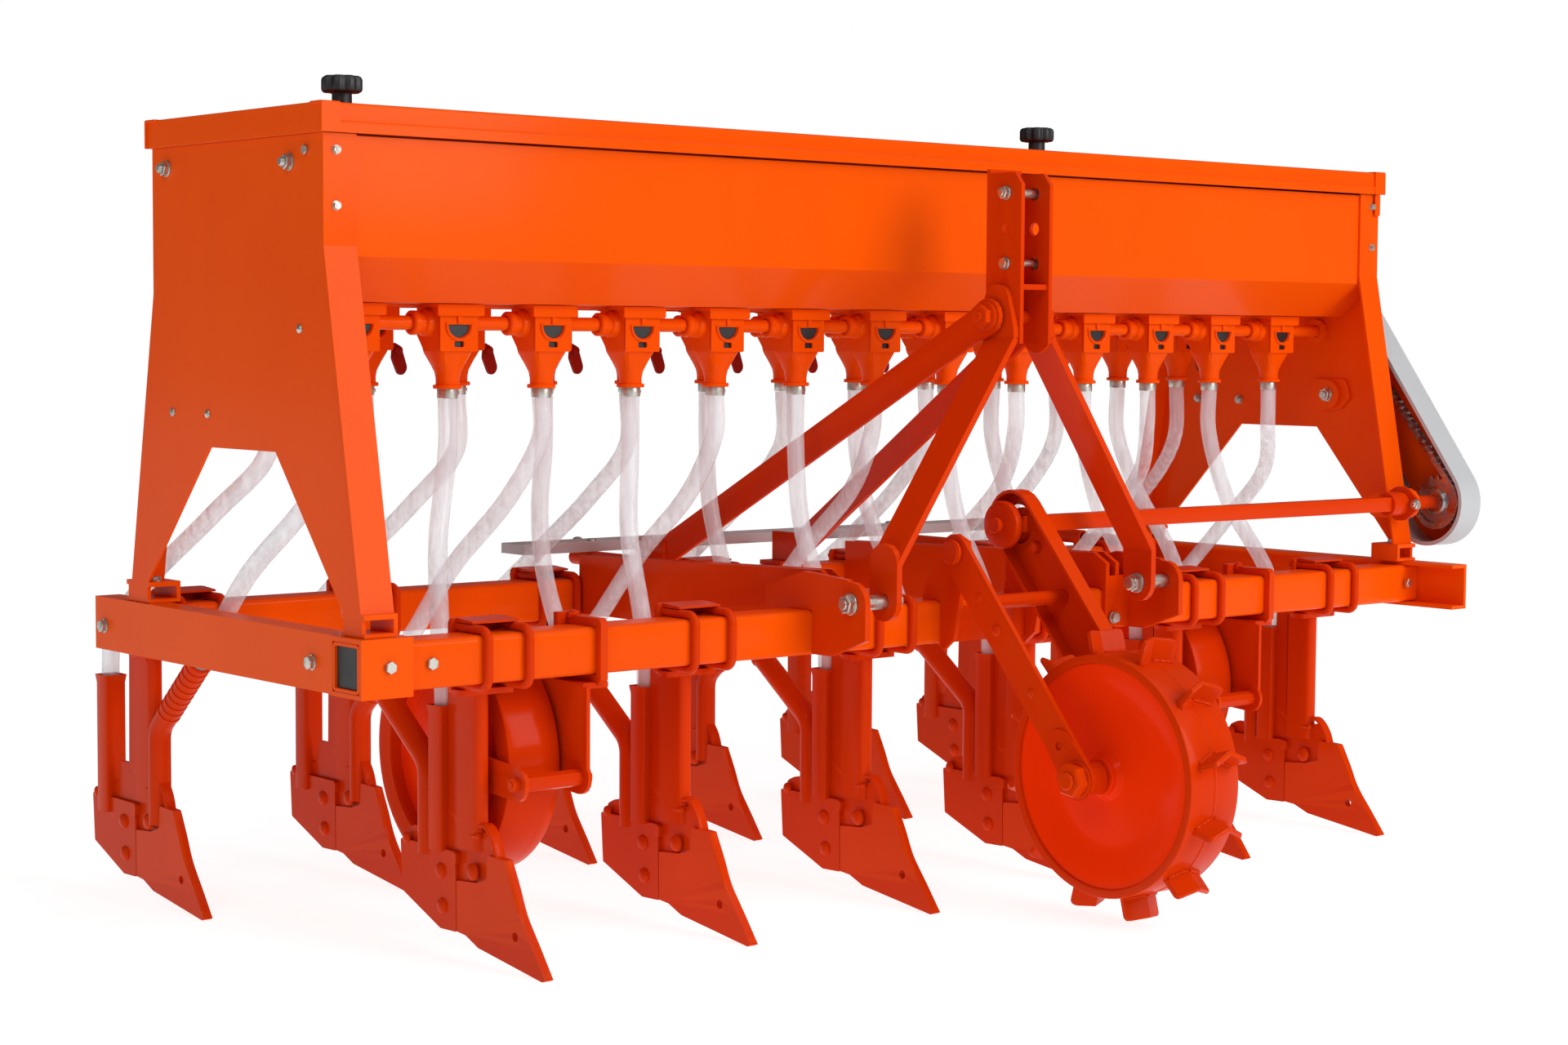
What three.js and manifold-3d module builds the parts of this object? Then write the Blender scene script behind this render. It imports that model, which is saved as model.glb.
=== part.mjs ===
// A three-point mounted seed and fertiliser drill: a twin-bar frame on thirteen furrow openers,
// a trough-shaped hopper with two rows of metering units, a hitch frame and a lugged drive wheel.
// Millimetres, +Z up, +X along the machine's working width, -Y towards the tractor.
import * as THREE from "three";
import { ConvexGeometry } from "three/addons/geometries/ConvexGeometry.js";
import { mergeVertices } from "three/addons/utils/BufferGeometryUtils.js";
import Module from "manifold-3d";

const wasm = await Module();
wasm.setup();

// ---------------------------------------------------------------- driving dimensions
const GAP = 0.3; // running or seating gap between two separate pieces
const EPS = 0.5; // how far a welded piece enters the one it is welded to

const BAR = 65; // square tube of both cross bars
const BAR_WALL = 5;
const BAR_REACH = 1094; // half of the working frame's width
const BAR_UNDERSIDE = 385; // height of the bars above the ground
const BAR_PITCH = 620; // front face of the front bar to front face of the rear bar

const BAR_TOP = BAR_UNDERSIDE + BAR;
const REAR_Y = BAR_PITCH;

const CHANNEL_WALL = 6; // side channels that close the frame
const CHANNEL_FLANGE = 40;
const LEFT_OVERRUN = 68; // how far the left channel runs on behind the rear bar
const RIGHT_OVERRUN = 100; // and the right one in front of the front bar
const SLEEVE_LENGTH = 78;

const FRONT_PITCH = 173.4; // spacing of the seed rows, front and rear openers alternating
const REAR_PITCH = 171.5;
const ROWS_EACH_SIDE = 6;

const POST_WIDTH = 25;
const POST_DEPTH = 50;
const POST_SETBACK = 53; // front of an opener's post behind the front face of its bar
const CLAMP_HALF = 45;
const UBOLT_ROD = 12;
const UBOLT_SPREAD = 66;
const BOOT = 33; // square seed boot behind the post
const BOOT_WALL = 2;
const BOOT_SETBACK = 136;
const BOOT_TOP = 340;
const REAR_BOOT_SETBACK = 188;
const REAR_BOOT_TOP = 328;
const SPOUT_TUBE = 34; // round boot
const LEANING_MOUTH = [REAR_Y - 78, 372]; // the round boots of the rear openers lean forwards
const LEANING_ELBOW = [REAR_Y + POST_SETBACK - 4, 262];
const LEANING_WAY = new THREE.Vector2(...LEANING_ELBOW)
  .sub(new THREE.Vector2(...LEANING_MOUTH))
  .normalize()
  .toArray();
const SHOE_PLATE = 8;

const HOPPER_HALF = 1082; // outside of the end plates
const END_PLATE = 4;
const END_TOP = 1105.7;
const HOPPER_FRONT = 103;
const HOPPER_REAR = 573;
const FLANGE = 50;
const PANEL = 3;
const HOPPER_FLOOR = 889;
const FLOOR_FRONT = 178;
const FLOOR_REAR = 498;
const PANEL_BEND = 947;
const LID_HEIGHT = 39;
const LID_SHEET = 3;
const LID_OVERHANG = 8;

const METER_PITCH = 159;
const METERS_EACH_SIDE = 6;
const METER_OFFSET = -16; // the middle unit sits a little left of the machine's middle
const METER_FRONT_Y = 228;
const METER_REAR_Y = 448;
const FEED_SHAFT = 20;
const FEED_SHAFT_Z = 862;
const SPOUT_Z = 757; // lower end of a metering spout
const HOSE = 27;

const DRIVE_Y = 0; // axis of the square drive shaft
const DRIVE_Z = BAR_UNDERSIDE + 175;
const DRIVE_SHAFT = 25;

const WHEEL_Y = -305;
const WHEEL_Z = 218;
const WHEEL_RADIUS = 176;
const WHEEL_WIDTH = 100;
const LUG_HEIGHT = 34;
const LUGS = 12;
const AXLE = 25;
const PIVOT_Y = -42;
const PIVOT_Z = BAR_UNDERSIDE + 142;
const ARM_X = 88; // middle of the left arm, left of the wheel's middle plane
const ARM_PLATE = 8;
const CASE_IN = 60; // chain case, right of the wheel's middle plane
const CASE_OUT = 88;

const MAST_TOP = 1091;
const MAST_Y = -116; // front edge of the mast plates
const MAST_DEPTH = 66;
const MAST_GAP = 52;
const MAST_PLATE = 7;
const APEX_Z = 878;
const PIN = 19;
const LOWER_PIN = 22;
const LOWER_PIN_Y = -85;
const LOWER_PIN_Z = BAR_UNDERSIDE + 81;
const LOWER_INNER = 262; // inner clevis plate, from the machine's middle
const CLEVIS_GAP = 52;
const CLEVIS_PLATE = 10;
const LEG_WIDTH = 60;

const DEPTH_WHEEL_XS = [-792, 595];
const DEPTH_WHEEL_Y = BAR + 144;
const DEPTH_WHEEL_Z = 260;
const DEPTH_WHEEL_RADIUS = 167;
const DEPTH_WHEEL_WIDTH = 86;
const FORK_GAP = 5.5; // between the wheel's face and either fork bar
const FORK_PLATE = 6;
const FORK_PIPE_Y = 8;
const FORK_PIPE_Z = 245;

const FOOTBOARD_Y = BAR_PITCH + 138;
const FOOTBOARD_SPAN = [-340, 1040];
const FOOTBOARD_PIPES = [-192, 520, 867];

const COVER_IN = 1106; // chain cover outside the right end plate
const COVER_DEPTH = 58;
const COVER_SHEET = 3;

const FRAME_MID_Y = (REAR_Y + BAR) / 2;
const SEAT_Z = BAR_TOP + CHANNEL_WALL + 3 * GAP; // top of a sleeve or side channel
const SEAT_HEIGHT = 26; // the end plates stand on angle seats
const FOOT_Z = SEAT_Z + SEAT_HEIGHT;

// ---------------------------------------------------------------- solids
function solidOf(geometry) {
  const plain = geometry.clone();
  plain.deleteAttribute("normal");
  plain.deleteAttribute("uv");
  const merged = mergeVertices(plain, 1e-3);
  return new wasm.Manifold(
    new wasm.Mesh({
      numProp: 3,
      vertProperties: merged.attributes.position.array,
      triVerts: new Uint32Array(merged.index.array),
    }),
  );
}

function join(...solids) {
  return solids.reduce((whole, piece) => whole.add(piece));
}

function cut(solid, ...tools) {
  return tools.reduce((rest, tool) => rest.subtract(tool), solid);
}

function box(x0, x1, y0, y1, z0, z1) {
  const geometry = new THREE.BoxGeometry(x1 - x0, y1 - y0, z1 - z0);
  geometry.translate((x0 + x1) / 2, (y0 + y1) / 2, (z0 + z1) / 2);
  return solidOf(geometry);
}

// A round rod or disc between two points given as [x, y, z].
function rod(from, to, radius, sides = 16, endRadius = radius) {
  const a = new THREE.Vector3(...from);
  const b = new THREE.Vector3(...to);
  const geometry = new THREE.CylinderGeometry(endRadius, radius, a.distanceTo(b), sides);
  const along = b.clone().sub(a).normalize();
  geometry.applyQuaternion(
    new THREE.Quaternion().setFromUnitVectors(new THREE.Vector3(0, 1, 0), along),
  );
  geometry.translate(...a.add(b).multiplyScalar(0.5).toArray());
  return solidOf(geometry);
}

function rodX(x0, x1, y, z, radius, sides = 16) {
  return rod([x0, y, z], [x1, y, z], radius, sides);
}

// A flat bar between two points, its wide side along the given direction.
function flatBar(from, to, width, thickness, wide) {
  const a = new THREE.Vector3(...from);
  const b = new THREE.Vector3(...to);
  const along = b.clone().sub(a);
  const geometry = new THREE.BoxGeometry(along.length(), width, thickness);
  const x = along.clone().normalize();
  const z = x.clone().cross(new THREE.Vector3(...wide)).normalize();
  const y = z.clone().cross(x);
  geometry.applyMatrix4(new THREE.Matrix4().makeBasis(x, y, z));
  geometry.translate(...a.add(b).multiplyScalar(0.5).toArray());
  return solidOf(geometry);
}

// An outline of points [u, v] becomes a shape.
function outline(points) {
  return new THREE.Shape(points.map(([u, v]) => new THREE.Vector2(u, v)));
}

function circle(u, v, radius) {
  return new THREE.Shape().absarc(u, v, radius, 0, 2 * Math.PI, false);
}

// The outline around two circles: an arm with rounded ends.
function linkShape([au, av], [bu, bv], ra, rb = ra) {
  const heading = Math.atan2(bv - av, bu - au);
  const lean = Math.acos((ra - rb) / Math.hypot(bu - au, bv - av));
  const shape = new THREE.Shape();
  shape.absarc(au, av, ra, heading + lean, heading - lean + 2 * Math.PI, false);
  shape.absarc(bu, bv, rb, heading - lean, heading + lean, false);
  return shape;
}

function extruded(shape, depth, curveSegments) {
  return new THREE.ExtrudeGeometry(shape, { depth, bevelEnabled: false, curveSegments });
}

// A shape drawn in (y, z), as thick as from x0 to x1.
function plateX(shape, x0, x1, curveSegments = 4) {
  const geometry = extruded(shape, x1 - x0, curveSegments);
  geometry.applyMatrix4(
    new THREE.Matrix4().makeBasis(
      new THREE.Vector3(0, 1, 0),
      new THREE.Vector3(0, 0, 1),
      new THREE.Vector3(1, 0, 0),
    ),
  );
  geometry.translate(x0, 0, 0);
  return solidOf(geometry);
}

// A shape drawn in (x, y), as thick as from z0 to z1.
function plateZ(shape, z0, z1, curveSegments = 4) {
  const geometry = extruded(shape, z1 - z0, curveSegments);
  geometry.translate(0, 0, z0);
  return solidOf(geometry);
}

// A body turned about a line along X through (y, z), from profile points [radius, x].
function turnedX(profile, y, z, segments) {
  const geometry = new THREE.LatheGeometry(
    profile.map(([r, x]) => new THREE.Vector2(r, x)),
    segments,
  );
  geometry.rotateZ(-Math.PI / 2);
  geometry.translate(0, y, z);
  return solidOf(geometry);
}

// The convex body around a set of points.
function wrapped(points) {
  return solidOf(new ConvexGeometry(points.map((p) => new THREE.Vector3(...p))));
}

function ring(x, y, z, radius, sides) {
  return Array.from({ length: sides }, (_, i) => {
    const turn = (2 * Math.PI * (i + 0.5)) / sides;
    return [x + radius * Math.cos(turn), y + radius * Math.sin(turn), z];
  });
}

function corners(x0, x1, y0, y1, z) {
  return [
    [x0, y0, z],
    [x1, y0, z],
    [x1, y1, z],
    [x0, y1, z],
  ];
}

// ---------------------------------------------------------------- nodes
const drill = new THREE.Group();

const orange = { color: 0xff5a0a, roughness: 0.35, metalness: 0 };
const steel = { color: 0xb8b8b4, roughness: 0.35, metalness: 1 };
const black = { color: 0x151515, roughness: 0.55, metalness: 0 };
const clear = { color: 0xe9e6e8, roughness: 0.2, metalness: 0 };
const pale = { color: 0xc9cbcc, roughness: 0.5, metalness: 0 };

function addNode(name, solid, finish) {
  const { vertProperties, triVerts } = solid.getMesh();
  const geometry = new THREE.BufferGeometry();
  geometry.setAttribute("position", new THREE.BufferAttribute(vertProperties, 3));
  geometry.setIndex(new THREE.BufferAttribute(triVerts, 1));
  geometry.computeVertexNormals();
  const mesh = new THREE.Mesh(geometry, new THREE.MeshStandardMaterial(finish));
  mesh.name = name;
  drill.add(mesh);
}

const mirrorX = (solid) => solid.mirror([1, 0, 0]);

// ---------------------------------------------------------------- frame
const channelHeight = BAR + 2 * (CHANNEL_WALL + GAP);
const channelBase = BAR_UNDERSIDE - CHANNEL_WALL - GAP;
const channelOuter = -BAR_REACH + CHANNEL_WALL;

function makeBar(x0, x1, y) {
  const hollow = box(
    x0 - 1,
    x1 + 1,
    y + BAR_WALL,
    y + BAR - BAR_WALL,
    BAR_UNDERSIDE + BAR_WALL,
    BAR_TOP - BAR_WALL,
  );
  return cut(box(x0, x1, y, y + BAR, BAR_UNDERSIDE, BAR_TOP), hollow);
}

// The left channel: a sleeve round the open end of the front bar, and a channel, open inwards,
// that runs back over the end of the rear bar.
function makeSideChannel(overrun) {
  const top = channelBase + channelHeight;
  const start = BAR + GAP;
  const end = REAR_Y + BAR + overrun;
  const inner = channelOuter + CHANNEL_WALL;
  const channel = cut(
    box(channelOuter, channelOuter + CHANNEL_FLANGE, start, end, channelBase, top),
    box(
      inner,
      inner + CHANNEL_FLANGE,
      start + CHANNEL_WALL,
      end + 1,
      channelBase + CHANNEL_WALL,
      top - CHANNEL_WALL,
    ),
  );
  const x1 = -BAR_REACH + SLEEVE_LENGTH;
  const sleeve = cut(
    box(-BAR_REACH, x1, -CHANNEL_WALL, BAR + CHANNEL_WALL, channelBase, top),
    box(-BAR_REACH - 1, x1 + 1, -GAP, BAR + GAP, BAR_UNDERSIDE - GAP, BAR_TOP + GAP),
  );
  return join(channel, sleeve);
}

function turnedRound(solid) {
  return solid.mirror([1, 0, 0]).mirror([0, 1, 0]).translate([0, 2 * FRAME_MID_Y, 0]);
}

const barInset = channelOuter + CHANNEL_WALL + GAP;
addNode("front_bar", makeBar(-BAR_REACH, -barInset, 0), orange);
addNode("rear_bar", makeBar(barInset, BAR_REACH, REAR_Y), orange);
addNode("left_side_channel", makeSideChannel(LEFT_OVERRUN), orange);
addNode("right_side_channel", turnedRound(makeSideChannel(RIGHT_OVERRUN)), orange);

// ---------------------------------------------------------------- openers
const clampBase = BAR_UNDERSIDE - GAP - UBOLT_ROD;
const clampTop = BAR_TOP + GAP + UBOLT_ROD;

// A U-bolt hooked round the front of a bar, its two arms running back to y1.
function makeUBolt(x, y, y1) {
  const front = y - GAP - UBOLT_ROD;
  const bend = UBOLT_ROD / 2;
  const shape = outline([
    [y1, clampTop],
    [front + bend, clampTop],
    [front, clampTop - bend],
    [front, clampBase + bend],
    [front + bend, clampBase],
    [y1, clampBase],
    [y1, clampBase + UBOLT_ROD],
    [y - GAP, clampBase + UBOLT_ROD],
    [y - GAP, clampTop - UBOLT_ROD],
    [y1, clampTop - UBOLT_ROD],
  ]);
  return plateX(shape, x - UBOLT_ROD / 2, x + UBOLT_ROD / 2);
}

// Two U-bolts with the plates that tie them behind and above the bar.
function makeClamp(x, y) {
  const half = UBOLT_SPREAD / 2;
  const rear = y + BAR + 8;
  return join(
    makeUBolt(x - half, y, rear + 5),
    makeUBolt(x + half, y, rear + 5),
    box(x - CLAMP_HALF, x + CLAMP_HALF, y + BAR + GAP, rear, clampBase - 6, clampTop + 6),
    box(x - CLAMP_HALF + 8, x + CLAMP_HALF - 8, y + 8, rear, clampTop - EPS, clampTop + 6),
  );
}

// The flat shoe at the foot of an opener: a carrier with a rounded ear, a rear wing and a share
// that ends in a point on the ground.
function makeShoe(x, y) {
  const carrier = outline([
    [232, 68],
    [238, 150],
    [226, 160],
    [176, 166],
    [126, 172],
    [108, 186],
  ]);
  carrier.quadraticCurveTo(44, 184, 34, 128);
  carrier.lineTo(44, 72);
  carrier.lineTo(126, 34);
  const wing = outline([
    [242, 62],
    [244, 134],
    [248, 148],
    [240, 154],
    [122, 138],
    [122, 24],
    [146, 26],
  ]);
  const share = outline([
    [-94, 0],
    [-103, 0],
    [4, 141],
    [26, 152],
    [40, 118],
    [96, 96],
    [114, 84],
    [114, 24],
    [70, 20],
  ]);
  const shareHole = plateX(circle(-34, 38, 5), x - 20, x + 20, 3);
  const half = SHOE_PLATE / 2;
  const shoe = join(
    plateX(carrier, x - half, x + half, 4),
    plateX(wing, x - half - 6, x - half + EPS),
    cut(plateX(share, x - half - 6, x + half), shareHole),
  );
  return shoe.translate([0, y, 0]);
}

function makePost(x, y) {
  const front = y + POST_SETBACK;
  const half = POST_WIDTH / 2;
  const section = new THREE.Shape();
  section.moveTo(x + half, front + POST_DEPTH);
  section.lineTo(x - half, front + POST_DEPTH);
  section.absarc(x, front + half, half, Math.PI, 2 * Math.PI, false);
  return plateZ(section, 96, clampBase, 3);
}

// A square tube, open at its top.
function makeBoot(x, y, base, top) {
  const half = BOOT / 2;
  return cut(
    box(x - half, x + half, y, y + BOOT, base, top),
    box(
      x - half + BOOT_WALL,
      x + half - BOOT_WALL,
      y + BOOT_WALL,
      y + BOOT - BOOT_WALL,
      base + 20,
      top + 1,
    ),
  );
}

// A round boot: a leaning tube, open at its top, on a vertical one.
function makeRoundBoot(x, mouth, elbow, foot) {
  const radius = SPOUT_TUBE / 2;
  const bore = radius - BOOT_WALL;
  const at = ([y, z]) => [x, y, z];
  const beyond = mouth.map((v, i) => v + (v - elbow[i]) * 0.1);
  const short = elbow.map((v, i) => v + (mouth[i] - v) * 0.2);
  return cut(
    join(rod(at(elbow), at(mouth), radius, 8), rod(at(foot), at(elbow), radius, 8)),
    rod(at(short), at(beyond), bore, 8),
  );
}

// The plate under the bar that carries post and boots.
function makeFootPlate(x, clampX, y, y0, y1) {
  const low = Math.min(x - BOOT / 2, clampX - CLAMP_HALF);
  const high = Math.max(x + BOOT / 2, clampX + CLAMP_HALF);
  const base = clampBase - 8;
  const narrow = BOOT / 2 + 2;
  return join(
    box(low, high, y + y0, y + BAR + 3, base, clampBase + 1),
    box(x - narrow, x + narrow, y + y0, y + y1, base, clampBase + 1),
  );
}

const TUBE_Y = 171;
const TUBE_ELBOW_Z = 255;

function makeFrontOpener(x) {
  const tubeY = TUBE_Y + SPOUT_TUBE / 2;
  return join(
    makeClamp(x, 0),
    makeFootPlate(x, x, 0, BAR - 20, BAR + 48),
    makePost(x, 0),
    makeBoot(x, BOOT_SETBACK, 140, BOOT_TOP),
    makeRoundBoot(x, [tubeY + 122, 345], [tubeY, TUBE_ELBOW_Z], [tubeY, 130]),
    makeShoe(x, 0),
    box(x - 4, x + 4, POST_SETBACK + POST_DEPTH - 1, BOOT_SETBACK + 1, 300, 330),
  );
}

function makeRearOpener(x, clampX) {
  const y = REAR_Y;
  return join(
    makeClamp(clampX, y),
    makeFootPlate(x, clampX, y, BAR - 20, BAR + 48),
    makePost(x, y),
    makeBoot(x, y + REAR_BOOT_SETBACK, 120, REAR_BOOT_TOP),
    makeRoundBoot(x, LEANING_MOUTH, LEANING_ELBOW, [LEANING_ELBOW[0], 120]),
    makeShoe(x, y),
  );
}

// A clamp near the end of the rear bar moves inwards to clear the channel or its sleeve.
function clampMiddle(x) {
  const left = HOPPER_HALF - FLANGE - CLAMP_HALF - 3;
  const right = BAR_REACH - SLEEVE_LENGTH - CLAMP_HALF - 3;
  return Math.max(-left, Math.min(right, x));
}

const rows = Array.from({ length: 2 * ROWS_EACH_SIDE + 1 }, (_, i) => i - ROWS_EACH_SIDE);
const isRear = (row) => (row + ROWS_EACH_SIDE) % 2 === 0;
const rowX = (row) => row * (isRear(row) ? REAR_PITCH : FRONT_PITCH);
let frontCount = 0;
let rearCount = 0;
for (const row of rows) {
  const x = rowX(row);
  if (isRear(row)) {
    rearCount += 1;
    addNode(`rear_opener_${rearCount}`, makeRearOpener(x, clampMiddle(x)), orange);
  } else {
    frontCount += 1;
    addNode(`front_opener_${frontCount}`, makeFrontOpener(x), orange);
  }
}

// ---------------------------------------------------------------- hopper
const ARCH = { front: 230, rear: 411, top: 688 };
const FEET = { front: 14, frontIn: 56, rearIn: 602, rear: 648 };
const FRONT_BEND = 960;
const REAR_BEND = 901;

function makeEndPlate() {
  const x0 = -HOPPER_HALF;
  const x1 = x0 + END_PLATE;
  const web = outline([
    [FEET.front, FOOT_Z],
    [FEET.frontIn, FOOT_Z],
    [ARCH.front, ARCH.top],
    [ARCH.rear, ARCH.top],
    [FEET.rearIn, FOOT_Z],
    [FEET.rear, FOOT_Z],
    [HOPPER_REAR, REAR_BEND],
    [HOPPER_REAR, END_TOP],
    [HOPPER_FRONT, END_TOP],
    [HOPPER_FRONT, FRONT_BEND],
  ]);
  const frontFlange = outline([
    [FEET.front, FOOT_Z],
    [FEET.front + END_PLATE, FOOT_Z],
    [HOPPER_FRONT + END_PLATE, FRONT_BEND],
    [HOPPER_FRONT + END_PLATE, END_TOP],
    [HOPPER_FRONT, END_TOP],
    [HOPPER_FRONT, FRONT_BEND],
  ]);
  const rearFlange = outline([
    [FEET.rear, FOOT_Z],
    [HOPPER_REAR, REAR_BEND],
    [HOPPER_REAR, END_TOP],
    [HOPPER_REAR - END_PLATE, END_TOP],
    [HOPPER_REAR - END_PLATE, REAR_BEND],
    [FEET.rear - END_PLATE, FOOT_Z],
  ]);
  const foot = (y0, y1) =>
    join(
      box(x0, x0 + FLANGE, y0, y1, SEAT_Z, SEAT_Z + 5),
      box(x0, x0 + FLANGE, y0, y1, FOOT_Z - 3, FOOT_Z + 4),
      box(x0 + FLANGE - 6, x0 + FLANGE, y0, y1, SEAT_Z + 1, FOOT_Z),
      box(x0, x0 + 6, y0 + 6, y1 - 6, SEAT_Z + 1, FOOT_Z),
    );
  return join(
    plateX(web, x0, x1),
    plateX(frontFlange, x0, x0 + FLANGE),
    plateX(rearFlange, x0, x0 + FLANGE),
    foot(FEET.front - 8, FEET.frontIn + 8),
    foot(FEET.rearIn - 8, FEET.rear + 16),
  );
}

const shaftHole = (x0, x1, y) => rodX(x0, x1, y, FEED_SHAFT_Z, FEED_SHAFT / 2 + 1, 12);
const hubX = HOPPER_HALF - END_PLATE;

// A flanged bearing of a feed shaft on the inside of an end plate.
function feedBearing(x0, x1, y) {
  return rodX(x0, x1, y, FEED_SHAFT_Z, 22, 12);
}

function makeLeftEnd() {
  const ends = [METER_FRONT_Y, METER_REAR_Y].map((y) => feedBearing(-hubX - EPS, -hubX + 12, y));
  const bores = [METER_FRONT_Y, METER_REAR_Y].map((y) => shaftHole(-hubX + 2, -hubX + 20, y));
  return cut(join(makeEndPlate(), ...ends), ...bores);
}

const BEARING_X = 1040;
function makeRightEnd() {
  const ends = [METER_FRONT_Y, METER_REAR_Y].map((y) => feedBearing(hubX - 12, hubX + EPS, y));
  const bores = [
    shaftHole(hubX - 20, HOPPER_HALF + 10, METER_FRONT_Y),
    shaftHole(hubX - 20, hubX - 2, METER_REAR_Y),
  ];
  const boss = rodX(hubX - 16, hubX + EPS, 195, 748, 26, 16);
  const strap = linkShape([DRIVE_Y, DRIVE_Z], [60, DRIVE_Z - 6], 27, 22);
  const carrier = plateX(strap, BEARING_X, BEARING_X + 10);
  const journal = rodX(BEARING_X, BEARING_X + 10, DRIVE_Y, DRIVE_Z, DRIVE_SHAFT / 2 + 1, 16);
  return cut(join(mirrorX(makeEndPlate()), ...ends, boss, carrier), ...bores, journal);
}

// The trough: two slanted panels on a flat floor, with a wall between seed and fertiliser.
function makeTrough() {
  const half = HOPPER_HALF - END_PLATE - GAP;
  const front = HOPPER_FRONT + END_PLATE + GAP;
  const rear = HOPPER_REAR - END_PLATE - GAP;
  const top = END_TOP - 2;
  const skin = outline([
    [front, top],
    [front, PANEL_BEND],
    [FLOOR_FRONT, HOPPER_FLOOR],
    [FLOOR_REAR, HOPPER_FLOOR],
    [rear, PANEL_BEND],
    [rear, top],
    [rear - PANEL, top],
    [rear - PANEL, PANEL_BEND + PANEL / 2],
    [FLOOR_REAR - PANEL / 2, HOPPER_FLOOR + PANEL],
    [FLOOR_FRONT + PANEL / 2, HOPPER_FLOOR + PANEL],
    [front + PANEL, PANEL_BEND + PANEL / 2],
    [front + PANEL, top],
  ]);
  const middle = (HOPPER_FRONT + HOPPER_REAR) / 2;
  const wall = box(-half, half, middle - PANEL, middle, HOPPER_FLOOR + 1, top - 12);
  return join(plateX(skin, -half, half), wall);
}

const lidBase = END_TOP + GAP;
const lidTop = lidBase + LID_HEIGHT;
const HINGE_RADIUS = 7;
const LID_FRONT = HOPPER_FRONT - LID_OVERHANG;
const LID_REAR = HOPPER_REAR + LID_OVERHANG;

// A shallow pan turned upside down, with a raised field on top and hinge knuckles at the rear.
function makeLid() {
  const half = HOPPER_HALF + LID_OVERHANG;
  const pan = cut(
    box(-half, half, LID_FRONT, LID_REAR, lidBase, lidTop - 5),
    box(
      -half + LID_SHEET,
      half - LID_SHEET,
      LID_FRONT + LID_SHEET,
      LID_REAR - LID_SHEET,
      lidBase - 1,
      lidTop - 5 - LID_SHEET,
    ),
  );
  const lip = cut(
    box(-half + 1, half - 1, LID_FRONT + 1, LID_REAR - 1, lidBase, lidBase + LID_SHEET),
    box(-half + 13, half - 13, LID_FRONT + 13, LID_REAR - 13, lidBase - 1, lidBase + 10),
  );
  const field = box(-half + 30, half - 30, LID_FRONT + 30, LID_REAR - 30, lidTop - 6, lidTop);
  const knuckles = [-0.8, 0, 0.8].map((share) => {
    const x = share * half;
    return rodX(x - 40, x + 40, LID_REAR + HINGE_RADIUS - 1, lidBase + HINGE_RADIUS, HINGE_RADIUS, 10);
  });
  return join(pan, lip, field, ...knuckles);
}

// A star grip on a short collar.
function makeKnob(x, y) {
  const base = lidTop + GAP;
  const lobes = 7;
  const star = outline(
    Array.from({ length: 4 * lobes }, (_, i) => {
      const turn = (2 * Math.PI * (i + 0.5)) / (4 * lobes);
      const reach = i % 4 < 2 ? 31 : 25;
      return [x + reach * Math.cos(turn), y + reach * Math.sin(turn)];
    }),
  );
  return join(rod([x, y, base], [x, y, base + 20], 15, 12), plateZ(star, base + 19, base + 42));
}

addNode("hopper_trough", makeTrough(), orange);
addNode("left_end_plate", makeLeftEnd(), orange);
addNode("right_end_plate", makeRightEnd(), orange);
addNode("hopper_lid", makeLid(), orange);
addNode("lid_knob_left", makeKnob(-1010, 176), black);
addNode("lid_knob_right", makeKnob(290, 176), black);

// ---------------------------------------------------------------- metering units
const METER_TOP = HOPPER_FLOOR - GAP;

// One metering unit: a capped body on the shaft, and a funnel down to its spout.
function makeMeter(x, y) {
  const spout = SPOUT_Z + 18;
  const funnel = wrapped([
    ...corners(x - 40, x + 40, y - 26, y + 26, METER_TOP - 40),
    ...ring(x, y, spout, 16, 6),
  ]);
  return join(
    box(x - 40, x + 40, y - 30, y + 30, METER_TOP - 42, METER_TOP - 12),
    funnel,
    rod([x, y, SPOUT_Z], [x, y, spout], 14.5, 6),
    rodX(x - 62, x - 39, y, FEED_SHAFT_Z, 17, 6),
  );
}

function meterRow(y) {
  const reach = METERS_EACH_SIDE * METER_PITCH;
  const rail = box(-reach - 45, reach + 45, y - 22, y + 22, METER_TOP - 13, METER_TOP);
  const units = [];
  for (let i = -METERS_EACH_SIDE; i <= METERS_EACH_SIDE; i += 1) {
    units.push(makeMeter(i * METER_PITCH, y));
  }
  const bore = rodX(-reach - 100, reach + 100, y, FEED_SHAFT_Z, FEED_SHAFT / 2 + 3, 6);
  return cut(join(rail, ...units), bore).translate([METER_OFFSET, 0, 0]);
}

addNode("seed_meter_row", meterRow(METER_FRONT_Y), orange);
addNode("fertiliser_meter_row", meterRow(METER_REAR_Y), orange);

const COVER_MID = COVER_IN + COVER_DEPTH / 2;
const shaftLeft = -hubX + 2 + GAP;
addNode(
  "seed_feed_shaft",
  rodX(shaftLeft, COVER_MID + 8, METER_FRONT_Y, FEED_SHAFT_Z, FEED_SHAFT / 2, 10),
  steel,
);
addNode(
  "fertiliser_feed_shaft",
  rodX(shaftLeft, -shaftLeft, METER_REAR_Y, FEED_SHAFT_Z, FEED_SHAFT / 2, 10),
  steel,
);

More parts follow.
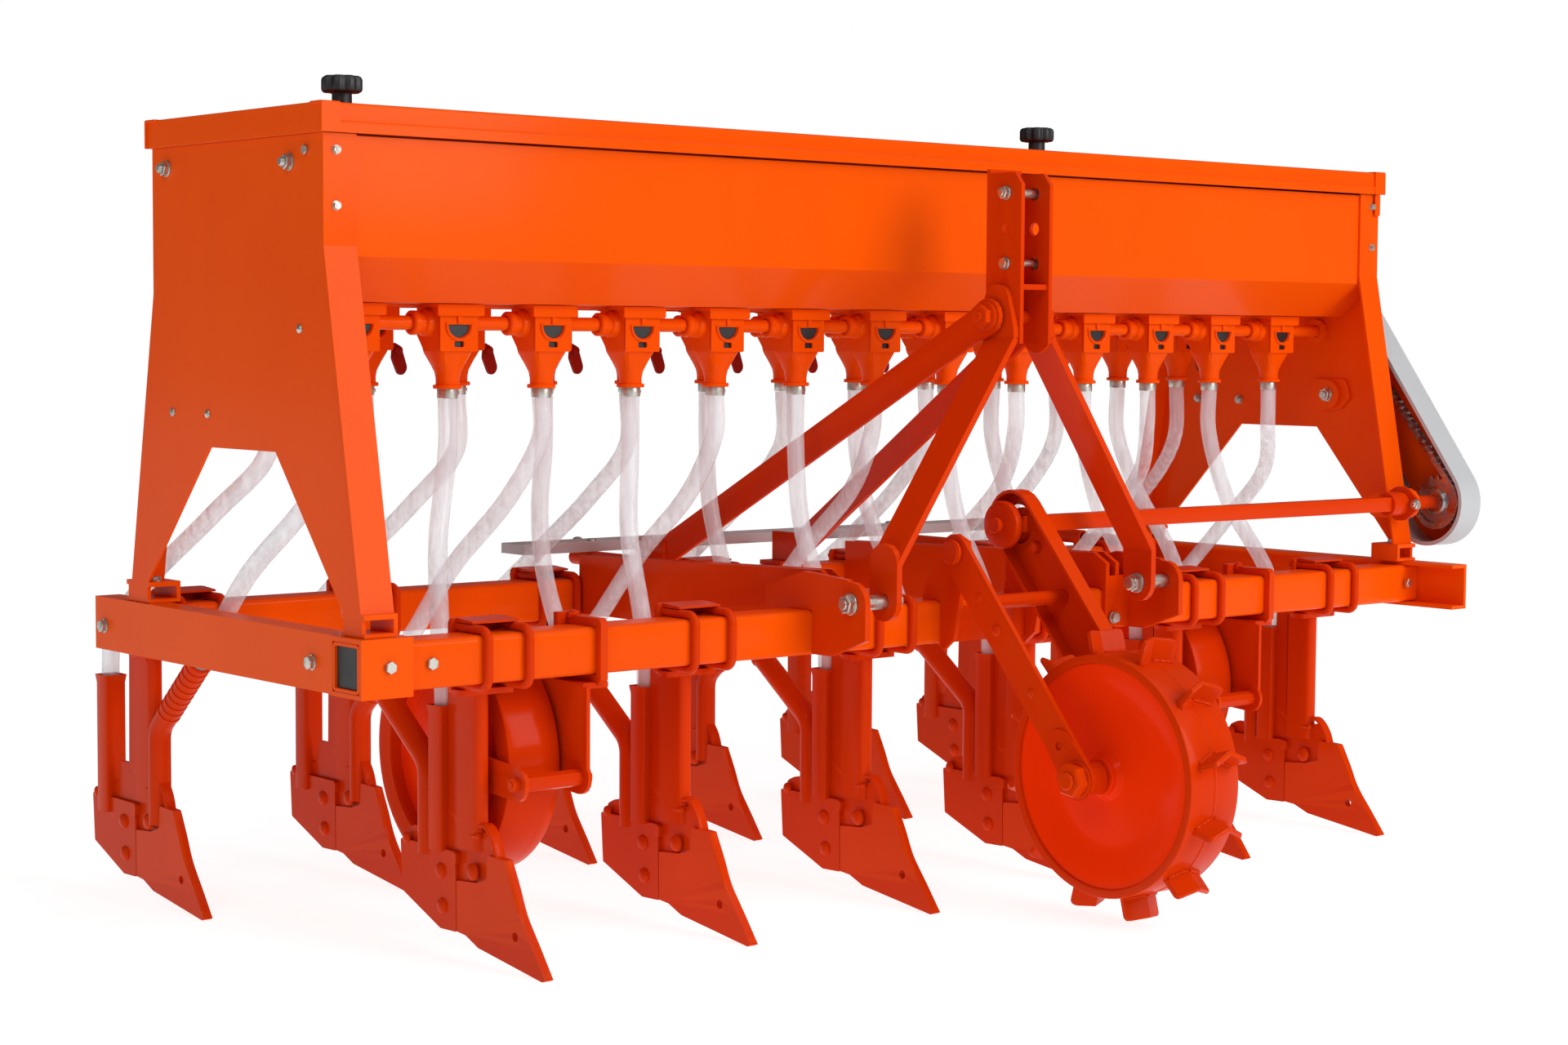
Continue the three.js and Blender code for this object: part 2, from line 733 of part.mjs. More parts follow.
// ---------------------------------------------------------------- seed hoses
// From each spout of the front row to its furrow opener: straight down into the square boot of
// a front opener, or slanting back into the leaning boot of a rear one.
function seedHoseRoute(row) {
  const from = METER_OFFSET + row * METER_PITCH;
  const to = rowX(row);
  const top = SPOUT_Z - GAP;
  const y = METER_FRONT_Y;
  if (!isRear(row)) {
    const bootY = BOOT_SETBACK + BOOT / 2;
    return [
      [from, y, top],
      [from, y, top - 70],
      [from + (to - from) * 0.45, y - 14, 560],
      [to, bootY + 8, 430],
      [to, bootY, BOOT_TOP + 20],
      [to, bootY, BOOT_TOP - 22],
    ];
  }
  const [mouthY, mouthZ] = LEANING_MOUTH;
  const [backY, downZ] = LEANING_WAY;
  return [
    [from, y, top],
    [from, y, top - 55],
    [from + (to - from) * 0.6, y + 52, 612],
    [to, y + 176, 506],
    [to, mouthY - 34 * backY, mouthZ - 34 * downZ],
    [to, mouthY + 22 * backY, mouthZ + 22 * downZ],
  ];
}

function makeHose(route) {
  const path = new THREE.CatmullRomCurve3(route.map((p) => new THREE.Vector3(...p)));
  const steps = Math.round(path.getLength() / (2.4 * HOSE));
  const section = circle(0, 0, HOSE / 2);
  const options = { steps, extrudePath: path, bevelEnabled: false, curveSegments: 4 };
  return solidOf(new THREE.ExtrudeGeometry(section, options));
}

rows.forEach((row, i) => addNode(`seed_hose_${i + 1}`, makeHose(seedHoseRoute(row)), clear));

// ---------------------------------------------------------------- chain drive
function makeChainCover() {
  const low = [DRIVE_Y + 5, DRIVE_Z];
  const high = [METER_FRONT_Y - 22, FEED_SHAFT_Z];
  const rim = linkShape(low, high, 78, 64);
  const well = linkShape(low, high, 78 - COVER_SHEET, 64 - COVER_SHEET);
  const x1 = COVER_IN + COVER_DEPTH;
  const ties = [
    rodX(HOPPER_HALF + GAP, x1 - 1, 150, 720, 9, 10),
    rodX(HOPPER_HALF + GAP, x1 - 1, 215, 900, 9, 10),
  ];
  const pan = cut(
    plateX(rim, COVER_IN, x1, 6),
    plateX(well, COVER_IN - 1, x1 - COVER_SHEET, 6),
  );
  return join(pan, ...ties);
}

const DISC_X = 46;
function makeDriveShaft() {
  const half = DRIVE_SHAFT / 2;
  return join(
    rodX(DISC_X, 130, DRIVE_Y, DRIVE_Z, half, 16),
    box(120, BEARING_X - 12, DRIVE_Y - half, DRIVE_Y + half, DRIVE_Z - half, DRIVE_Z + half),
    rodX(BEARING_X - 20, COVER_MID + 8, DRIVE_Y, DRIVE_Z, half, 16),
    rodX(DISC_X - 4, DISC_X + 4, DRIVE_Y, DRIVE_Z, 36, 24),
    rod([DISC_X - 16, DRIVE_Y, DRIVE_Z], [DISC_X, DRIVE_Y, DRIVE_Z], 10, 16, 22),
  );
}

addNode("chain_cover", makeChainCover(), pale);
addNode("drive_shaft", makeDriveShaft(), orange);

// ---------------------------------------------------------------- drive wheel
function makeDriveWheel() {
  const half = WHEEL_WIDTH / 2;
  const r = WHEEL_RADIUS;
  const profile = [
    [AXLE / 2 + 0.5, -half],
    [28, -half],
    [34, -half + 14],
    [r * 0.68, -half + 18],
    [r - 8, -half],
    [r, -half + 6],
    [r, half - 6],
    [r - 8, half],
    [r * 0.68, half - 18],
    [34, half - 14],
    [28, half],
    [AXLE / 2 + 0.5, half],
    [AXLE / 2 + 0.5, -half],
  ];
  const drum = turnedX(profile, WHEEL_Y, WHEEL_Z, 24);
  const lugs = Array.from({ length: LUGS }, (_, i) => {
    const turn = (2 * Math.PI * (i + 0.5)) / LUGS + Math.PI / 2;
    const out = [Math.cos(turn), Math.sin(turn)];
    const at = (x, along, up) => [
      x,
      WHEEL_Y + out[0] * (r + up) - out[1] * along,
      WHEEL_Z + out[1] * (r + up) + out[0] * along,
    ];
    const blade = (x0, x1, lean) =>
      wrapped(
        [-2, LUG_HEIGHT].flatMap((up) => [
          at(x0, lean - 4, up),
          at(x0, lean + 4, up),
          at(x1, -4, up),
          at(x1, 4, up),
        ]),
      );
    return join(blade(-34, 0.5, 14), blade(34, -0.5, 14));
  });
  return join(drum, ...lugs);
}

// Left arm, chain case and the two rods that tie them: everything that swings with the wheel.
function makeWheelFrame() {
  const hub = [WHEEL_Y, WHEEL_Z];
  const pivot = [PIVOT_Y, PIVOT_Z];
  const arm = plateX(linkShape(hub, pivot, 26, 27), -ARM_X - ARM_PLATE / 2, -ARM_X + ARM_PLATE / 2);
  const boss = rodX(-ARM_X, -WHEEL_WIDTH / 2 - 8, WHEEL_Y, WHEEL_Z, 24, 16);
  const rim = linkShape(hub, [DRIVE_Y - 6, DRIVE_Z + 8], 46, 46);
  const well = linkShape(hub, [DRIVE_Y - 6, DRIVE_Z + 8], 41, 41);
  const web = CASE_OUT - 4;
  const shell = cut(
    plateX(rim, CASE_IN, CASE_OUT, 5),
    plateX(well, CASE_IN - 1, web, 5),
    rodX(web - 1, CASE_OUT + 1, DRIVE_Y, DRIVE_Z, 31, 20),
  );
  const tieY = -99;
  const tieZ = 455;
  const tie = rodX(-ARM_X, web + 1, tieY, tieZ, 11, 12);
  const axle = rodX(-ARM_X - 22, web + 1, WHEEL_Y, WHEEL_Z, AXLE / 2, 16);
  const nut = rodX(-ARM_X - 18, -ARM_X, WHEEL_Y, WHEEL_Z, 21, 6);
  const bores = [
    rodX(-ARM_X - 10, -ARM_X + 10, PIVOT_Y, PIVOT_Z, 9, 12),
    rodX(web - 5, CASE_OUT + 5, PIVOT_Y, PIVOT_Z, 9, 12),
  ];
  return cut(join(arm, boss, shell, tie, axle, nut), ...bores);
}

// The bracket on the front bar: two plates with the pivot pins of the wheel frame.
function makeWheelBracket() {
  const plate = (x0) => {
    const shape = outline([
      [-GAP - 8, BAR_UNDERSIDE - 8],
      [-GAP, BAR_UNDERSIDE - 8],
      [-GAP, BAR_TOP + GAP],
      [40, BAR_TOP + GAP],
      [30, BAR_TOP + 30],
      [-16, PIVOT_Z + 18],
      [-34, PIVOT_Z + 26],
      [-58, PIVOT_Z + 16],
      [-62, PIVOT_Z - 16],
      [-46, BAR_TOP + 20],
      [-30, BAR_UNDERSIDE + 10],
    ]);
    return plateX(shape, x0, x0 + 8);
  };
  const left = -ARM_X + ARM_PLATE / 2 + 4;
  const right = CASE_OUT + 4;
  const strap = box(left, right + 8, -GAP - 8, -GAP, BAR_UNDERSIDE + 2, BAR_TOP - 10);
  const pins = [
    rodX(-ARM_X - ARM_PLATE / 2 - 8, left + 1, PIVOT_Y, PIVOT_Z, 8, 12),
    rodX(CASE_OUT - 14, right + 1, PIVOT_Y, PIVOT_Z, 8, 12),
    rodX(-ARM_X - ARM_PLATE / 2 - 8, -ARM_X - ARM_PLATE / 2 - 2, PIVOT_Y, PIVOT_Z, 19, 16),
  ];
  const bearing = plateX(
    linkShape([DRIVE_Y, DRIVE_Z], [DRIVE_Y + 6, BAR_TOP + 30], 26, 30),
    right,
    right + 8,
  );
  const journal = rodX(right - 1, right + 9, DRIVE_Y, DRIVE_Z, DRIVE_SHAFT / 2 + 1, 16);
  return cut(join(plate(left), plate(right), strap, ...pins, bearing), journal);
}

addNode("drive_wheel", makeDriveWheel(), orange);
addNode("wheel_frame", makeWheelFrame(), orange);
addNode("wheel_bracket", makeWheelBracket(), orange);

// ---------------------------------------------------------------- hitch
const mastRear = MAST_Y + MAST_DEPTH;
const mastInner = MAST_GAP / 2;
const mastOuter = mastInner + MAST_PLATE;
const PIN_HOLES = [1061, 1009, 957];
const PIN_Y = -84;
const braceX = mastOuter + GAP + CLEVIS_PLATE + 4;

function makeMast() {
  const side = outline([
    [MAST_Y, APEX_Z - 40],
    [mastRear + EPS, APEX_Z - 40],
    [mastRear + EPS, MAST_TOP],
    [MAST_Y + 14, MAST_TOP],
    [MAST_Y, MAST_TOP - 18],
  ]);
  const back = box(-mastOuter, mastOuter, mastRear, mastRear + 7, APEX_Z - 8, MAST_TOP + 6);
  const shelf = box(-mastInner - 1, mastInner + 1, MAST_Y + 4, mastRear + 1, 918, 926);
  const holes = PIN_HOLES.map((z) => rodX(-60, 60, PIN_Y, z, PIN / 2 + 0.5, 12));
  const plates = join(
    plateX(side, mastInner, mastOuter),
    plateX(side, -mastOuter, -mastInner),
    back,
    shelf,
  );
  return join(cut(plates, ...holes), makeApexBolt());
}

function makeTopPin() {
  const y = PIN_Y;
  const z = PIN_HOLES[0];
  return join(
    rodX(-mastOuter - 14, mastOuter + 12, y, z, PIN / 2, 12),
    rodX(-mastOuter - 16, -mastOuter - GAP, y, z, 15, 12),
  );
}

// A leg of the hitch frame, right-hand one: a flat bar, wide fore and aft, bolted to the mast,
// spreading out to the inner plate of the lower clevis.
function makeLeg() {
  const y0 = MAST_Y + 2;
  const y1 = y0 + LEG_WIDTH;
  const yMid = (y0 + y1) / 2;
  const t = CLEVIS_PLATE;
  const headX = mastOuter + GAP;
  const footX = LOWER_INNER;
  const bend = LOWER_PIN_Z + 54;
  const head = plateX(
    linkShape([-76, APEX_Z + 22], [yMid, APEX_Z - 24], 26, LEG_WIDTH / 2),
    headX,
    headX + t,
  );
  const slope = flatBar(
    [headX + t / 2, yMid, APEX_Z - 32],
    [footX + t / 2, yMid, bend],
    LEG_WIDTH,
    t,
    [0, 1, 0],
  );
  const foot = plateX(
    linkShape([yMid, bend], [LOWER_PIN_Y, LOWER_PIN_Z], LEG_WIDTH / 2, LEG_WIDTH / 2 - 1),
    footX,
    footX + t,
  );
  return cut(
    join(head, slope, foot),
    rodX(headX - 5, headX + 20, -68, APEX_Z, 10.5, 12),
    rodX(footX - 5, footX + t + 5, LOWER_PIN_Y, LOWER_PIN_Z, LOWER_PIN / 2 + 0.5, 12),
  );
}

// A brace from the mast head back and down to the rear bar, right-hand one.
function makeBrace() {
  const t = 8;
  const wide = 46;
  const headX = braceX + t / 2;
  const footZ = BAR_TOP + GAP;
  const head = plateX(linkShape([-68, APEX_Z], [-40, APEX_Z - 16], 27, 24), braceX, braceX + t);
  const bar = flatBar([headX, -62, APEX_Z - 3], [150, 600, footZ + 34], wide, t, [0, 0, 1]);
  const foot = join(
    box(150 - 6, 150 + 6, 586, REAR_Y + 46, footZ, footZ + 58),
    box(128, 168, REAR_Y + 4, REAR_Y + 60, footZ, footZ + 8),
  );
  const bolt = rodX(braceX - 5, braceX + 20, -68, APEX_Z, 10.5, 12);
  return cut(join(head, bar, foot), bolt);
}

function makeApexBolt() {
  const end = braceX + 10;
  return join(
    rodX(-end, end, -68, APEX_Z, 10, 12),
    rodX(-end - 14, -end, -68, APEX_Z, 17, 6),
    rodX(end, end + 14, -68, APEX_Z, 17, 6),
  );
}

// The lower hitch, right-hand one: a deep folded beam between the bars, running over the front
// bar and down its face, and the outer clevis plate tied to it.
function makeLowerHitch() {
  const t = CLEVIS_PLATE;
  const in0 = LOWER_INNER + t + GAP;
  const in1 = in0 + 30;
  const out0 = LOWER_INNER + t + CLEVIS_GAP;
  const base = BAR_TOP + GAP;
  const low = BAR_UNDERSIDE + 10;
  const rear = REAR_Y - GAP;
  const rib = outline([
    [-GAP, base],
    [BAR + GAP, base],
    [BAR + GAP, low],
    [rear, low],
    [rear, base + 38],
    [20, base + 56],
    [-GAP - 8, base + 40],
    [-GAP - 8, BAR_UNDERSIDE + 2],
    [-GAP, BAR_UNDERSIDE + 2],
  ]);
  const nose = outline([
    [-GAP, BAR_UNDERSIDE + 2],
    [-GAP, base],
    [BAR + 40, base],
    [BAR + 40, base + 30],
    [20, base + 56],
  ]);
  nose.lineTo(LOWER_PIN_Y + 10, LOWER_PIN_Z + 34);
  nose.absarc(LOWER_PIN_Y, LOWER_PIN_Z, 31, Math.PI * 0.45, Math.PI, false);
  nose.lineTo(LOWER_PIN_Y - 31, BAR_UNDERSIDE + 30);
  nose.lineTo(-40, BAR_UNDERSIDE + 2);
  const top = outline([
    [rear - 20, base + 31],
    [rear - 20, base + 38],
    [30, base + 55],
    [30, base + 48],
  ]);
  const pinHole = rodX(out0 - 5, out0 + t + 5, LOWER_PIN_Y, LOWER_PIN_Z, LOWER_PIN / 2 + 0.5, 12);
  return join(
    cut(plateX(nose, out0, out0 + t), pinHole),
    plateX(rib, in0, in0 + 8),
    plateX(rib, in1 - 8, in1),
    plateX(top, in0 + 1, in1 - 1),
    box(in0 + 1, out0 + 1, -GAP - 8, -GAP, BAR_UNDERSIDE + 4, base + 20),
    box(in1 - 1, out0 + 1, BAR + 4, BAR + 12, base + 6, base + 24),
  );
}

function makeLowerPin() {
  const x0 = LOWER_INNER - 14;
  const x1 = LOWER_INNER + 2 * CLEVIS_PLATE + CLEVIS_GAP + 14;
  return join(
    rodX(x0, x1, LOWER_PIN_Y, LOWER_PIN_Z, LOWER_PIN / 2, 12),
    rodX(x0 - 8, LOWER_INNER - GAP, LOWER_PIN_Y, LOWER_PIN_Z, 17, 6),
  );
}

addNode("hitch_mast", makeMast(), orange);
addNode("top_link_pin", makeTopPin(), steel);
addNode("hitch_leg_left", mirrorX(makeLeg()), orange);
addNode("hitch_leg_right", makeLeg(), orange);
addNode("rear_brace_left", mirrorX(makeBrace()), orange);
addNode("rear_brace_right", makeBrace(), orange);
addNode("lower_hitch_left", mirrorX(makeLowerHitch()), orange);
addNode("lower_hitch_right", makeLowerHitch(), orange);
addNode("lower_pin_left", mirrorX(makeLowerPin()), steel);
addNode("lower_pin_right", makeLowerPin(), steel);

// ---------------------------------------------------------------- depth wheels
function makeDepthWheel(x) {
  const half = DEPTH_WHEEL_WIDTH / 2;
  const r = DEPTH_WHEEL_RADIUS;
  const disc = half - 14;
  const groove = 12;
  const profile = [
    [10.5, -disc],
    [r * 0.6, -disc],
    [r * 0.64, -groove],
    [r * 0.8, -groove],
    [r * 0.84, -half],
    [r, -half + 5],
    [r - 5, -half + 14],
    [r - 5, half - 24],
    [r, half - 18],
    [r, half - 5],
    [r * 0.84, half],
    [r * 0.8, groove],
    [r * 0.64, groove],
    [r * 0.6, disc],
    [10.5, disc],
    [10.5, -disc],
  ];
  return turnedX(profile, DEPTH_WHEEL_Y, DEPTH_WHEEL_Z, 20).translate([x, 0, 0]);
}

// The fork of a depth wheel: two flat bars along the wheel, tied by the axle and by a pipe in
// front of it; the right-hand bar hangs from a clamp on the front bar.
function makeFork(x) {
  const hub = [DEPTH_WHEEL_Y, DEPTH_WHEEL_Z];
  const front = [FORK_PIPE_Y, FORK_PIPE_Z];
  const reach = DEPTH_WHEEL_WIDTH / 2 + FORK_GAP;
  const left = x - reach - FORK_PLATE;
  const right = x + reach;
  const flat = (x0) => plateX(linkShape(hub, front, 23, 23), x0, x0 + FORK_PLATE);
  const hanger = outline([
    [FORK_PIPE_Y - 18, FORK_PIPE_Z],
    [FORK_PIPE_Y + 60, FORK_PIPE_Z - 6],
    [BAR + 36, clampBase - 14],
    [BAR + 36, clampBase - 3],
    [FORK_PIPE_Y - 18, clampBase - 3],
  ]);
  const outermost = right + FORK_PLATE;
  const clampX = outermost + 22;
  return join(
    flat(left),
    flat(right),
    plateX(hanger, right, outermost),
    makeUBolt(clampX, 0, BAR + 26),
    box(outermost - 1, clampX + 14, BAR + GAP, BAR + 10, clampBase - 9, clampTop + 4),
    box(right, clampX + 14, -2, BAR + 34, clampBase - 6, clampBase + 2),
    rodX(left - 1, outermost + 8, ...hub, 10, 8),
    rodX(left, right + 1, ...front, 12, 8),
    rodX(left - 8, outermost + 12, ...front, 8, 6),
  );
}

DEPTH_WHEEL_XS.forEach((x, i) => {
  const side = ["left", "right"][i];
  addNode(`depth_wheel_${side}`, makeDepthWheel(x), orange);
  addNode(`depth_fork_${side}`, makeFork(x), orange);
});

// ---------------------------------------------------------------- footboard
// A plank behind the rear bar, on pipes that rest on the bar.
function makeFootboard() {
  const pipe = 13;
  const axis = BAR_TOP + GAP + 8 + pipe;
  const top = axis + pipe - 1;
  const carriers = FOOTBOARD_PIPES.map((x) =>
    join(
      box(x - 18, x + 18, REAR_Y + 6, REAR_Y + BAR - 6, BAR_TOP + GAP, BAR_TOP + GAP + 12),
      rod([x, REAR_Y - 8, axis], [x, FOOTBOARD_Y + 30, axis], pipe, 12),
    ),
  );
  const [x0, x1] = FOOTBOARD_SPAN;
  return join(box(x0, x1, FOOTBOARD_Y - 32, FOOTBOARD_Y + 32, top, top + 18), ...carriers);
}

addNode("rear_footboard", makeFootboard(), pale);

// ---------------------------------------------------------------- place on the ground
drill.updateMatrixWorld(true);
const bounds = new THREE.Box3().setFromObject(drill);
const middle = bounds.getCenter(new THREE.Vector3());
drill.position.set(-middle.x, -middle.y, -bounds.min.z);

export default drill;
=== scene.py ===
"""The looks of a mounted seed drill: enamelled steel, zinc bolts, clear hoses and black knobs.

Every shape is made in millimetres of the drill's own frame (x to its right, y to its rear, z up,
with the ground at zero) and set down in the frame's metres by Datum.
"""
import logging
import math
from collections.abc import Iterable, Mapping, Sequence
from dataclasses import dataclass, field
from enum import Enum
from typing import Any

import bmesh
import bpy
from mathutils import Matrix, Vector
from mathutils.geometry import tessellate_polygon


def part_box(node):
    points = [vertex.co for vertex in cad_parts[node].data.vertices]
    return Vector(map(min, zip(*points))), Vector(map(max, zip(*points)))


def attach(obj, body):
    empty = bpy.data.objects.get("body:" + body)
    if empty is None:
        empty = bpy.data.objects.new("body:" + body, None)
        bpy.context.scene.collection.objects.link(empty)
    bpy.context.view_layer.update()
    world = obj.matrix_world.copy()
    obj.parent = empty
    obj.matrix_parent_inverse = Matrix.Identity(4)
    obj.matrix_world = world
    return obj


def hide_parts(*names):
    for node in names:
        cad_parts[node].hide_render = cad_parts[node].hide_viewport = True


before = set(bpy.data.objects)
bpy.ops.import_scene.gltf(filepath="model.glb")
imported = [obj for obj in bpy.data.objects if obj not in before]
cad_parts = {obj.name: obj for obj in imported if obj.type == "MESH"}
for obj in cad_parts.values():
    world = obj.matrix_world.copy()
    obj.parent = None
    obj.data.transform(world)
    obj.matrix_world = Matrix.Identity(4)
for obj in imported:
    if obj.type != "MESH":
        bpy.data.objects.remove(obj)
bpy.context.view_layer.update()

log = logging.getLogger("seed_drill")

Point = tuple[float, float, float]
Flat = tuple[float, float]
Span = tuple[float, float]
Colour = tuple[float, float, float]

# ---- the drill's main sizes, mm
BAR = 65.0
BAR_REACH = 1094.0
BAR_BASE = 385.0
BAR_TOP = BAR_BASE + BAR
REAR_Y = 620.0
FRONT_PITCH = 173.4
REAR_PITCH = 171.5
ROWS = range(-6, 7)
METER_PITCH = 159.0
METER_OFFSET = -16.0
METER_FRONT_Y = 228.0
METER_REAR_Y = 448.0
SPOUT_Z = 757.0
HOSE = 27.0
HOPPER_HALF = 1082.0
FLANGE = 50.0
SLEEVE = 78.0
CLAMP_HALF = 45.0
CLEARANCE = 3.0
FEED_Z = 862.0
FRONT_BOOT_Y = 152.5
REAR_BOOT_Y = 824.5
FRONT_BOOT_ELBOW = (188.0, 255.0)
FRONT_BOOT_MOUTH = (310.0, 345.0)
REAR_BOOT_ELBOW = (669.0, 262.0)
REAR_BOOT_MOUTH = (542.0, 372.0)


@dataclass(frozen=True)
class Datum:
    """Where the drill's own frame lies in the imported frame.

    Attributes:
        x: Shift to the right, in mm.
        y: Shift to the rear, in mm.
    """

    x: float
    y: float

    @classmethod
    def measured(cls) -> "Datum":
        """Finds the shift from the corner of the front bar."""
        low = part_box("front_bar")[0]
        return cls(low[0] * 1000 + BAR_REACH, low[1] * 1000)

    def matrix(self) -> Matrix:
        """The step from millimetres of the drill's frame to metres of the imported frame."""
        return Matrix.Scale(0.001, 4) @ Matrix.Translation((self.x, self.y, 0))

    def metres(self, point: Sequence[float]) -> Vector:
        """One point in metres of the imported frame."""
        return self.matrix() @ Vector(point)


DATUM = Datum.measured()


# ---- shader arithmetic
class Value:
    """A number socket that can be used in Python expressions.

    Attributes:
        shader: The shader that the socket belongs to.
        socket: The output socket that carries the number.
    """

    def __init__(self, shader: "Shader", socket: bpy.types.NodeSocket) -> None:
        """Wraps an output socket."""
        self.shader = shader
        self.socket = socket

    def _math(self, operation: str, first: Any, second: Any = 0.0) -> "Value":
        """Adds one Math node.

        Args:
            operation: The Math node's operation.
            first: The first operand, a Value or a number.
            second: The second operand.

        Returns:
            The node's result.
        """
        node = self.shader.add("ShaderNodeMath", {"operation": operation}, {0: first, 1: second})
        return Value(self.shader, node.outputs[0])

    def __add__(self, other: Any) -> "Value":
        """self + other."""
        return self._math("ADD", self, other)

    __radd__ = __add__

    def __sub__(self, other: Any) -> "Value":
        """self - other."""
        return self._math("SUBTRACT", self, other)

    def __rsub__(self, other: Any) -> "Value":
        """other - self."""
        return self._math("SUBTRACT", other, self)

    def __mul__(self, other: Any) -> "Value":
        """self * other."""
        return self._math("MULTIPLY", self, other)

    __rmul__ = __mul__

    def between(self, low: float, high: float) -> "Value":
        """How far the number has gone from low to high, kept within 0 and 1.

        Args:
            low: Where the result is 0.
            high: Where the result is 1; it may be the smaller of the two.

        Returns:
            The clamped share.
        """
        sockets = {"Value": self, "From Min": low, "From Max": high}
        node = self.shader.add("ShaderNodeMapRange", {"clamp": True}, sockets)
        return Value(self.shader, node.outputs["Result"])


class Shader:
    """A material's node tree, built around one Principled shader.

    Attributes:
        material: The material.
        tree: Its node tree.
        surface: Its Principled shader.
        place: The socket that gives a point's place in its object.
    """

    def __init__(self, name: str) -> None:
        """Makes an empty material of that name with its shader and output.

        Args:
            name: The material's name.
        """
        self.material = bpy.data.materials.new(name)
        self.material.use_nodes = True
        self.tree = self.material.node_tree
        self.tree.nodes.clear()
        self.surface = self.add("ShaderNodeBsdfPrincipled", {}, {})
        self.add("ShaderNodeOutputMaterial", {}, {"Surface": self.surface.outputs[0]})
        coords = self.add("ShaderNodeTexCoord", {}, {})
        self.place = coords.outputs["Object"]

    def add(
        self, kind: str, settings: Mapping[str, Any], sockets: Mapping[int | str, Any]
    ) -> bpy.types.Node:
        """Adds a node.

        Args:
            kind: The node's type.
            settings: Its settings.
            sockets: A value, a Value or an output socket for each input.

        Returns:
            The node.
        """
        node = self.tree.nodes.new(kind)
        for key, value in settings.items():
            setattr(node, key, value)
        for key, value in sockets.items():
            self.feed(node.inputs[key], value)
        return node

    def feed(self, socket: bpy.types.NodeSocket, value: Any) -> None:
        """Links a socket, or sets it when the value is a plain one.

        Args:
            socket: The socket to feed.
            value: What feeds it: a value, a socket, a number or a colour.
        """
        if isinstance(value, Value):
            value = value.socket
        if isinstance(value, bpy.types.NodeSocket):
            self.tree.links.new(value, socket)
        elif isinstance(value, tuple) and socket.type == "RGBA":
            socket.default_value = (*value, 1.0)
        else:
            socket.default_value = value

    def noise(self, scale: float, detail: float = 3.0, stretch: Point = (1, 1, 1)) -> Value:
        """A noise pattern.

        Args:
            scale: Its frequency, in cycles per metre.
            detail: How many finer layers it holds.
            stretch: The share of the frequency along each axis.

        Returns:
            The pattern's strength, about 0.5 on average.
        """
        way = self.place
        if stretch != (1, 1, 1):
            mapping = self.add("ShaderNodeMapping", {}, {"Vector": way, "Scale": stretch})
            way = mapping.outputs[0]
        sockets = {"Vector": way, "Scale": scale, "Detail": detail}
        return Value(self, self.add("ShaderNodeTexNoise", {}, sockets).outputs[0])

    def specks(self, scale: float) -> Value:
        """The distance to the nearest of many scattered points, per cell."""
        sockets = {"Vector": self.place, "Scale": scale}
        return Value(self, self.add("ShaderNodeTexVoronoi", {}, sockets).outputs["Distance"])

    def height(self) -> Value:
        """The height above the ground at rest, in metres."""
        node = self.add("ShaderNodeSeparateXYZ", {}, {0: self.place})
        return Value(self, node.outputs["Z"])

    def edges(self) -> Value:
        """The share of an outer edge in the surface."""
        node = self.add("ShaderNodeNewGeometry", {}, {})
        return Value(self, node.outputs["Pointiness"]).between(0.52, 0.60)

    def blend(self, share: Any, first: Any, second: Any) -> bpy.types.NodeSocket:
        """Mixes two colours.

        Args:
            share: How much of the second shows.
            first: A colour or an output socket.
            second: The same.

        Returns:
            The mixed colour.
        """
        node = self.add("ShaderNodeMix", {"data_type": "RGBA"}, {0: share, 6: first, 7: second})
        return node.outputs[2]

    def dress(self, **sockets: Any) -> None:
        """Feeds the Principled shader's sockets; an underscore stands for a space."""
        for key, value in sockets.items():
            self.feed(self.surface.inputs[key.replace("_", " ")], value)

    def bump(self, height: Value, depth: float, strength: float = 1.0) -> None:
        """Raises the surface by a pattern.

        Args:
            height: The pattern.
            depth: Its height in metres.
            strength: How much of it shows.
        """
        sockets = {"Height": height, "Distance": depth, "Strength": strength}
        node = self.add("ShaderNodeBump", {}, sockets)
        self.dress(Normal=node.outputs[0])


# ---- finishes
class Slot(Enum):
    """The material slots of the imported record."""

    ORANGE = "orange_paint"
    PALE = "pale_paint"
    ZINC = "zinc"
    BLACK = "black_plastic"
    CLEAR = "clear_hose"


@dataclass(frozen=True)
class Coat:
    """What every finish has.

    Attributes:
        name: The material's name.
        slot: The record's slot.
    """

    name: str
    slot: Slot


